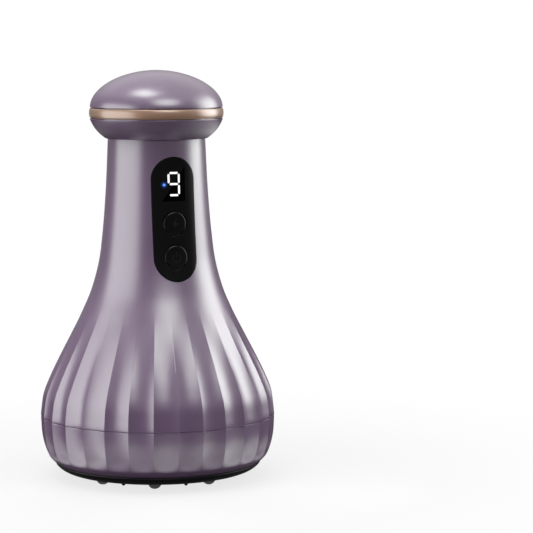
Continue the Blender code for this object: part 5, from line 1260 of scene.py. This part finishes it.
def buildSpring(k):
    low, high = (corner.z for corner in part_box("knob_spring"))
    spring = linkObject("knobSpring", bpy.data.meshes.new("knobSpring"))
    runTree(spring, makeSpringTree(), {
        "Turns": k["springTurns"], "Radius": k["springRadius"],
        "Height": high - low - 2 * k["springWire"], "Foot": low + k["springWire"],
        "Wire": k["springWire"], "Finish": materials["screw_steel"]})
    cleanPiece(spring)
    place(spring, "housing", "screw_steel", "knob_spring")
    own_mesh(spring)


buildBowl(knob)
buildBand(knob)
buildDome(knob)
buildSpring(knob)
print("knob built")


# Underside: black ring, face plate with studs, steel beads and the cup

base = {
    "faceZ": 2.7 * mm, "faceTop": 5.7 * mm, "faceInner": 18.6 * mm,
    "faceOuter": 32.4 * mm, "faceStep": 30.9 * mm, "faceStepZ": 4.5 * mm, "mouthRound": 0.45 * mm,
    "faceRound": 0.40 * mm,
    "ringInner": 32.65 * mm, "ringOuter": 36.9 * mm, "ringHeight": 2.95 * mm,
    "ringLift": 0.02 * mm, "ringFootRound": 0.1 * mm, "ringSideRound": 2.5 * mm,
    "ringTopRound": 0.15 * mm, "ringStep": 31.2 * mm, "ringStepZ": 4.8 * mm,
    # share of the ring's width, share of its height
    "ringSide": [(0.10, 0.0), (0.40, 0.16), (0.64, 0.36), (0.84, 0.60), (0.98, 0.82)],
    "beads": 8, "beadCircle": 26.4 * mm, "beadRadius": 2.5 * mm, "beadSweep": 134, "beadSteps": 24,
    "pinRadius": 1.2 * mm, "pinFoot": 4.3 * mm, "pinTop": 7.2 * mm, "beadSides": 40,
    # a pocket's room round the bead, and the level over the face where it has it
    "pocket": [(0.35 * mm, -1 * mm), (0.30 * mm, 0.02 * mm), (0.14 * mm, 0.2 * mm),
               (0.12 * mm, 1.9 * mm)],
    "studInner": 24.0 * mm, "studOuter": 28.5 * mm, "studRadius": 0.9 * mm, "studRise": 1.6 * mm,
    "studRoot": 0.4 * mm, "studSteps": 8, "studSides": 20,
    "sides": 192,
}


def makeCircleTree():
    # copies of a part round the Z axis, each turned to face outwards
    tree = bpy.data.node_groups.new("copiesInCircle", "GeometryNodeTree")
    start, end = groupSockets(
        tree,
        [("Part", "NodeSocketGeometry", None), ("Count", "NodeSocketInt", 8),
         ("Circle", "NodeSocketFloat", 0.02), ("Turn", "NodeSocketFloat", 0.0),
         ("Finish", "NodeSocketMaterial", None)],
        [("Ring", "NodeSocketGeometry")])
    need = {s.name: s for s in start.outputs}
    points = wire(tree, "GeometryNodeMeshLine", {"Offset": (0, 0, 0)}, {"Count": need["Count"]})
    index = wire(tree, "GeometryNodeInputIndex").outputs[0]
    angle = calc(tree, "ADD", calc(tree, "MULTIPLY", calc(tree, "DIVIDE", index, need["Count"]),
                                   2 * math.pi), need["Turn"])
    where = wire(tree, "ShaderNodeCombineXYZ", links={
        0: calc(tree, "MULTIPLY", calc(tree, "COSINE", angle), need["Circle"]),
        1: calc(tree, "MULTIPLY", calc(tree, "SINE", angle), need["Circle"])})
    spread = wire(tree, "GeometryNodeSetPosition", links={
        "Geometry": points.outputs[0], "Position": where.outputs[0]})
    turn = wire(tree, "ShaderNodeCombineXYZ", links={2: angle})
    copies = wire(tree, "GeometryNodeInstanceOnPoints", links={
        "Points": spread.outputs[0], "Instance": need["Part"], "Rotation": turn.outputs[0]})
    return endGeometry(tree, copies.outputs[0], need["Finish"], end)


def buildRing(b):
    z, reach = b["faceZ"], b["ringOuter"] - b["ringInner"]
    top = z + b["ringHeight"]
    outline = [(b["ringInner"], z + b["ringLift"], b["ringFootRound"])]
    outline += [(b["ringInner"] + reach * across, z + b["ringHeight"] * up, b["ringSideRound"])
                for across, up in b["ringSide"]]
    outline += [(b["ringOuter"], top, b["ringTopRound"]), (b["ringStep"], top, 0),
                (b["ringStep"], b["ringStepZ"], 0), (b["ringInner"], b["ringStepZ"], 0)]
    ring = addPiece("baseRing", turned(filleted(outline), b["sides"]), materials["ring_black"])
    place(ring, "housing", "ring_black", "base_ring")


def pocketCutters(b):
    # the beads' pockets, all in one bmesh
    z, room = b["faceZ"], b["pocket"]
    outline = [(0, z + room[0][1])] + [(b["beadRadius"] + gap, z + up) for gap, up in room]
    outline.append((0, z + room[-1][1]))
    pockets = bmesh.new()
    for k in range(b["beads"]):
        way = direction(360 * (k + 0.5) / b["beads"], 0)
        one = turned(outline, b["beadSides"])
        bmesh.ops.translate(one, vec=way * b["beadCircle"], verts=one.verts)
        loose = bpy.data.meshes.new("pocket")
        one.to_mesh(loose)
        one.free()
        pockets.from_mesh(loose)
        bpy.data.meshes.remove(loose)
    return pockets


def buildFace(b):
    z, top = b["faceZ"], b["faceTop"]
    outline = [(b["faceInner"], z, b["mouthRound"]), (b["faceOuter"], z, b["faceRound"]),
               (b["faceOuter"], b["faceStepZ"], 0), (b["faceStep"], b["faceStepZ"], 0),
               (b["faceStep"], top, 0), (b["faceInner"], top, 0)]
    face = addPiece("facePlateSkin", turned(filleted(outline, 7), b["sides"]),
                    materials["face_black"])
    cutOut(face, pocketCutters(b))
    place(face, "housing", "face_black", "face_plate")


def buildBeads(b, circleTree):
    r = b["beadRadius"]
    angles = [math.radians(b["beadSweep"] * k / b["beadSteps"] - 90)
              for k in range(1, b["beadSteps"] + 1)]
    outline = [(0, 0)] + [(r * math.cos(a), r + r * math.sin(a)) for a in angles]
    outline += [(b["pinRadius"], b["pinFoot"]), (b["pinRadius"], b["pinTop"]), (0, b["pinTop"])]
    beads = addPiece("steelBeads", turned(outline, b["beadSides"]), materials["bead_steel"])
    runTree(beads, circleTree, {"Count": b["beads"], "Circle": b["beadCircle"],
                                "Turn": math.pi / b["beads"],
                                "Finish": materials["bead_steel"]})
    place(beads, "housing", "bead_steel",
          *["electrode_bead_%d" % (k + 1) for k in range(b["beads"])])


def buildStuds(b, circleTree):
    # low studs between the beads, rounded towards the skin
    z, root = b["faceZ"], b["faceZ"] + b["studRoot"]
    outline = [(0, root), (b["studRadius"], root)]
    outline += [(b["studRadius"] * cosine, z - b["studRise"] * sine)
                for sine, cosine in quarter(b["studSteps"])[:-1]]
    outline.append((0, z - b["studRise"]))
    for name, circle in (("innerStuds", b["studInner"]), ("outerStuds", b["studOuter"])):
        studs = addPiece(name, turned(outline, b["studSides"]), materials["face_black"])
        runTree(studs, circleTree, {"Count": b["beads"], "Circle": circle, "Turn": 0.0,
                                    "Finish": materials["face_black"]})
        place(studs, "housing", "face_black")


# Suction cup: its wall with the air hole, and the smoked window over it

cup = {
    "bore": 18.7 * mm, "radius": 20.3 * mm, "foot": 7.2 * mm, "top": 27.0 * mm,
    "mouthRound": 0.15 * mm,
    "flange": 29.2 * mm, "flangeFoot": 10.1 * mm, "flangeTop": 11.7 * mm,
    "ledgeZ": 21.4 * mm, "ledgeReach": 1.2 * mm, "ledgeThick": 1.0 * mm,
    "ledgeRounds": (0.1 * mm, 0.35 * mm, 0.6 * mm),
    "holeRadius": 1.8 * mm, "holeLength": 6 * mm, "holeOut": 1 * mm, "holeDrop": 3.4 * mm,
    "paneZ": 22.7 * mm, "paneThick": 1.5 * mm, "paneGap": 0.3 * mm, "paneRound": 0.1 * mm,
    "sides": 192,
}


def buildCup(c):
    bore, outer, ledge = c["bore"], c["radius"], c["ledgeZ"]
    shelf, shelfTop = bore - c["ledgeReach"], ledge + c["ledgeThick"]
    upper, lower, corner = c["ledgeRounds"]
    outline = [(bore, c["foot"], c["mouthRound"]), (outer, c["foot"], 0),
               (outer, c["flangeFoot"], 0), (c["flange"], c["flangeFoot"], 0),
               (c["flange"], c["flangeTop"], 0), (outer, c["flangeTop"], 0),
               (outer, c["top"], 0), (bore, c["top"], 0), (bore, shelfTop, 0),
               (shelf, shelfTop, upper), (shelf, ledge, lower), (bore, ledge, corner)]
    wall = addPiece("cupLiner", turned(filleted(outline, 6), c["sides"]), materials["cup_black"])
    hole = bmesh.new()
    bmesh.ops.create_cone(
        hole, cap_ends=True, segments=32, radius1=c["holeRadius"], radius2=c["holeRadius"],
        depth=c["holeLength"],
        matrix=Matrix.Translation((bore + c["holeOut"], 0, ledge - c["holeDrop"]))
        @ Matrix.Rotation(math.pi / 2, 4, "Y"))
    cutOut(wall, hole)
    place(wall, "housing", "cup_black", "cup_liner")
    low, high = c["paneZ"], c["paneZ"] + c["paneThick"]
    rim = bore - c["paneGap"]
    pane = [(0, low, 0), (rim, low, c["paneRound"]), (rim, high, c["paneRound"]), (0, high, 0)]
    window = addPiece("cupWindow", turned(filleted(pane), c["sides"]), materials["window_smoke"])
    place(window, "housing", "window_smoke", "cup_window")


circleTree = makeCircleTree()
buildRing(base)
buildFace(base)
buildBeads(base, circleTree)
buildStuds(base, circleTree)
buildCup(cup)
print("underside built")


# Floor, backdrop light and lamps

studio = {
    "floor": (0.86, 0.86, 0.87), "bounce": (0.15, 0.15, 0.16), "floorSize": 12.0,
    "floorRoughness": 0.6, "floorGloss": 0.15,
    "shadowNear": 0.05, "shadowFar": 0.22, "shadowShown": 0.24,
    "fill": 0.60, "white": 1.0,
    "bearing": -112.5,       # from the object to the camera
    "aim": (0, 0, 0.075),
    # name, degrees to the right of the camera, height angle, power
    "lamps": [("keyLeft", -68, 15, 4.0), ("keyRight", 106, 15, 4.0), ("keyTop", -20, 70, 5.0)],
    "lampReach": 1.2, "lampSize": 0.8,
    # soft white cards seen only in gloss: name, degrees to the right of the camera,
    # reach from the axis, height over the floor, width, height, glow, soft share of the edge
    "cards": [
        ("leftCard", -67, 0.22, 0.08, 0.38, 0.37, 3.1, 0.5),
        ("rightCard", 104, 0.30, 0.18, 0.36, 0.42, 5.5, 0.8),
        ("frontCard", 22, 0.27, 0.32, 0.33, 0.28, 5.6, 0.8),
        ("topCard", -48, 0.117, 0.52, 0.30, 0.24, 8.4, 0.8),
    ],
    "cardAim": (0, 0, 0.10), "cardSteps": 12,
}

# Dark surfaces, also seen only in gloss, that paint shade into the reflections. A lobe is
# (strength, degrees to the right of the camera, power) of painted light: it fades round the
# part from the place where it is strongest.

# a cover round the stage that only gloss shows: painted shade in the reflections
tent = {
    # height angles: its foot, and where its cover ends in front and at the back
    "low": -8, "front": 65, "back": 35, "reach": 1.2, "tone": 0.06, "backTone": 0.22,
    "rows": 24, "step": 6,
}
# a ring under the knob that only gloss shows: painted shade round the neck, with lobes of painted
# light
collar = {
    # reach from the axis, cover
    "rings": [(0.018, 0), (0.022, 0.9), (0.029, 0.9), (0.040, 0)],
    "z": 0.1214, "tone": 0.09, "left": (0.13, -70, 4), "right": (0.8, 80, 4), "step": 10,
}
# painted shade beside and behind the part, seen only in gloss
flank = {
    "from": 118, "to": 176, "reach": 0.12, "tall": 0.10, "steps": 12,
    # share of the height, cover
    "rows": [(0, 1), (0.6, 1), (1, 0)],
}
# a sheet on the floor that only gloss shows: painted shade under and round the foot, and painted
# light on part of the ring it leaves open
floorShadeSheet = {
    "z": 0.4 * mm, "centre": 1 * mm, "core": 0.043, "ringFoot": 0.051, "inner": 0.065,
    "outer": 1.1, "soft": 0.02, "coreTone": 0.055, "tone": 0.03, "glow": 2.2, "step": 6,
    # the ring of floor that the sheet leaves open: its lobes of painted light and how far each widens
    # it
    "left": (1.0, -55, 8), "right": (0.9, 62, 8), "front": (0.75, 8, 10),
    "leftWide": 0.075, "rightWide": 0.025, "frontWide": 0.03,
    # degrees from the camera where the ring starts to close, and over how many it does
    "shutFrom": 75, "shutRun": 30,
}


def seenRay(tree):
    # 1 for rays that show the studio: from the camera, in gloss and through clear pieces
    path = tree.nodes.new("ShaderNodeLightPath")
    return calc(tree, "MAXIMUM", calc(tree, "MAXIMUM", path.outputs["Is Camera Ray"],
                                      path.outputs["Is Glossy Ray"]),
                path.outputs["Is Transmission Ray"])


def buildFloor(s):
    # pale and lit near the object, where it takes the shadow; plain white further off
    work = bmesh.new()
    bmesh.ops.create_grid(work, x_segments=2, y_segments=2, size=s["floorSize"] / 2)
    floor = addPiece("studioFloor", work, None)
    if floor.data.polygons[0].normal.z < 0:
        floor.data.flip_normals()
    material, tree, shader = startMaterial("paleFloor", Roughness=s["floorRoughness"],
                                           Specular_IOR_Level=s["floorGloss"])
    seen = seenRay(tree)
    path = tree.nodes.new("ShaderNodeLightPath")
    # the light that it throws back on the object is dimmer than it looks
    tree.links.new(blendColors(tree, seen, s["bounce"], s["floor"]), shader.inputs["Base Color"])
    away = wire(tree, "ShaderNodeVectorMath", links={0: objectPoint(tree)}, operation="LENGTH")
    kept = wire(tree, "ShaderNodeMapRange", {
        "From Min": s["shadowNear"], "From Max": s["shadowFar"], "To Max": 1.0}, {
            "Value": away.outputs["Value"],
            "To Min": calc(tree, "MULTIPLY", path.outputs["Is Camera Ray"], 1 - s["shadowShown"])},
        interpolation_type="SMOOTHSTEP")
    white = wire(tree, "ShaderNodeEmission", {"Color": (1, 1, 1, 1), "Strength": s["white"]})
    mix = wire(tree, "ShaderNodeMixShader", links={
        0: calc(tree, "MULTIPLY", seen, kept.outputs[0]), 1: shader.outputs[0],
        2: white.outputs[0]})
    tree.links.new(mix.outputs[0], tree.nodes["Material Output"].inputs["Surface"])
    floor.data.materials.append(material)


def buildWorld(s):
    world = bpy.data.worlds.new("studioWorld")
    bpy.context.scene.world = world
    world.use_nodes = True
    tree = world.node_tree
    tree.nodes.clear()
    fill = wire(tree, "ShaderNodeBackground", {"Color": (1, 1, 1, 1), "Strength": s["fill"]})
    white = wire(tree, "ShaderNodeBackground", {"Color": (1, 1, 1, 1), "Strength": s["white"]})
    mix = tree.nodes.new("ShaderNodeMixShader")
    tree.links.new(seenRay(tree), mix.inputs[0])
    tree.links.new(fill.outputs[0], mix.inputs[1])
    tree.links.new(white.outputs[0], mix.inputs[2])
    out = tree.nodes.new("ShaderNodeOutputWorld")
    tree.links.new(mix.outputs[0], out.inputs[0])


def buildLamps(s):
    for name, right, height, power in s["lamps"]:
        data = bpy.data.lights.new(name, "AREA")
        data.size, data.energy = s["lampSize"], power
        lamp = linkObject(name, data)
        way = direction(s["bearing"] + right, height)
        lamp.location = Vector(s["aim"]) + way * s["lampReach"]
        lamp.rotation_euler = way.to_track_quat("Z", "Y").to_euler()
        lamp.visible_glossy = False


def glossPiece(name, rows, marks, material):
    # a grid of (position, mark values) that only gloss shows
    mesh = bpy.data.meshes.new(name)
    wide = len(rows[0])
    mesh.from_pydata([tuple(p) for row in rows for p, _ in row], [], [
        (i * wide + j, i * wide + j + 1, (i + 1) * wide + j + 1, (i + 1) * wide + j)
        for i in range(len(rows) - 1) for j in range(wide - 1)])
    for index, mark in enumerate(marks):
        values = mesh.attributes.new(mark, "FLOAT", "POINT")
        values.data.foreach_set("value", [float(v[index]) for row in rows for _, v in row])
    mesh.materials.append(material)
    card = linkObject(name, mesh)
    for ray in ("camera", "diffuse", "shadow", "transmission", "volume_scatter"):
        setattr(card, "visible_" + ray, False)


def makeVeil(name, cover, marks):
    # shines with its glow mark's strength, and covers as much as cover works out
    material, tree, shader = startMaterial(name)
    tree.nodes.remove(shader)
    read = {mark: wire(tree, "ShaderNodeAttribute", attribute_name=mark).outputs["Fac"]
            for mark in marks}
    shine = wire(tree, "ShaderNodeEmission", {"Color": (1, 1, 1, 1)}, {"Strength": read["glow"]})
    clear = tree.nodes.new("ShaderNodeBsdfTransparent")
    mix = wire(tree, "ShaderNodeMixShader", links={
        0: cover(tree, read), 1: clear.outputs[0], 2: shine.outputs[0]})
    tree.links.new(mix.outputs[0], tree.nodes["Material Output"].inputs["Surface"])
    return material


def softEdge(tree, read):
    # a card's cover fades towards its four edges
    cover = 1.0
    for mark in ("across", "up"):
        inner = calc(tree, "SUBTRACT", 1.0, read["edge"])
        fade = softStep(tree, calc(tree, "ABSOLUTE", read[mark]), 1.0, inner)
        cover = calc(tree, "MULTIPLY", fade, cover)
    return cover


def buildCards(s):
    marks = ("across", "up", "edge", "glow")
    soft = makeVeil("softCard", softEdge, marks)
    steps = [2 * k / s["cardSteps"] - 1 for k in range(s["cardSteps"] + 1)]
    for name, right, reach, high, wide, tall, glow, edge in s["cards"]:
        centre = direction(s["bearing"] + right, 0) * reach + Vector((0, 0, high))
        turn = (centre - Vector(s["cardAim"])).to_track_quat("Z", "Y")
        glossPiece(name, [[(centre + turn @ Vector((u * wide / 2, v * tall / 2, 0)),
                            (u, v, edge, glow)) for u in steps] for v in steps], marks, soft)


def lobe(value, right):
    strength, middle, power = value
    return strength * max(0.0, math.cos(math.radians(right - middle))) ** power


def tentRows(s, t):
    # round the stage, open towards its top: painted shade in the reflections, darker in front than at
    # the back
    rows = []
    for k in range(t["rows"] + 1):
        height = t["low"] + (t["front"] - t["low"]) * k / t["rows"]
        row = []
        for right in range(0, 361, t["step"]):
            front = (1 + math.cos(math.radians(right))) / 2
            edge = t["back"] + (t["front"] - t["back"]) * front
            opened = min(max(0.0, height / edge), 1.0) ** 2
            tone = t["tone"] + (t["backTone"] - t["tone"]) * (1 - front)
            row.append((Vector(s["aim"]) + direction(s["bearing"] + right, height) * t["reach"],
                        (1 - opened, tone)))
        rows.append(row)
    return rows


def knobShadeRows(s, c):
    # painted shade that the underside of the knob sees instead of the floor, with painted light to
    # its left and right
    return [[(direction(s["bearing"] + right, 0) * reach + Vector((0, 0, c["z"])),
              (cover, c["tone"] + lobe(c["left"], right) + lobe(c["right"], right)))
             for right in range(-180, 181, c["step"])] for reach, cover in c["rings"]]


def flankRows(s, f):
    # a dark sheet beside and behind the part, seen only in gloss: painted shade in the reflections at
    # its edges
    rows = []
    for level, cover in f["rows"]:
        row = []
        for k in range(f["steps"] + 1):
            way = direction(s["bearing"] + f["from"] + (f["to"] - f["from"]) * k / f["steps"], 0)
            row.append((way * f["reach"] + Vector((0, 0, f["tall"] * level)),
                        (cover * min(k, 1), tent["tone"])))
        rows.append(row)
    return rows


def floorShadeRows(s, m):
    # on the floor: painted shade under the foot and further off, and an open ring before the foot
    # with painted light on its left, right and front
    rows = []
    for part, cover in enumerate((1, 1, 0, 0, 1, 1)):
        row = []
        for right in range(-180, 181, m["step"]):
            left, side, front = (lobe(m[name], right) for name in ("left", "right", "front"))
            inner = m["inner"] + (m["leftWide"] * left + m["rightWide"] * side
                                  + m["frontWide"] * front)
            reach = (m["centre"], m["core"], m["ringFoot"], inner, inner + m["soft"],
                     m["outer"])[part]
            lit = max(left + side, front) * (1 - cover)
            shut = min(max(0.0, (abs(right) - m["shutFrom"]) / m["shutRun"]), 1.0)
            tone = m["coreTone"] if part < 2 else m["tone"]
            row.append((direction(s["bearing"] + right, 0) * reach + Vector((0, 0, m["z"])),
                        (max(cover, lit, shut), tone + lit * m["glow"])))
        rows.append(row)
    return rows


def buildDark(s):
    marks = ("cover", "glow")
    # sheets that paint shade, and some light, into the reflections only
    dark = makeVeil("darkVeil", lambda tree, read: read["cover"], marks)
    for name, rows in (("darkTent", tentRows(s, tent)), ("shadeUnderKnob", knobShadeRows(s, collar)),
                       ("darkFlank", flankRows(s, flank)), ("paintedFloorShade", floorShadeRows(s, floorShadeSheet))):
        glossPiece(name, rows, marks, dark)


buildFloor(studio)
buildWorld(studio)
buildLamps(studio)
buildCards(studio)
buildDark(studio)
bpy.context.scene.view_settings.view_transform = "Standard"
print("studio lit")
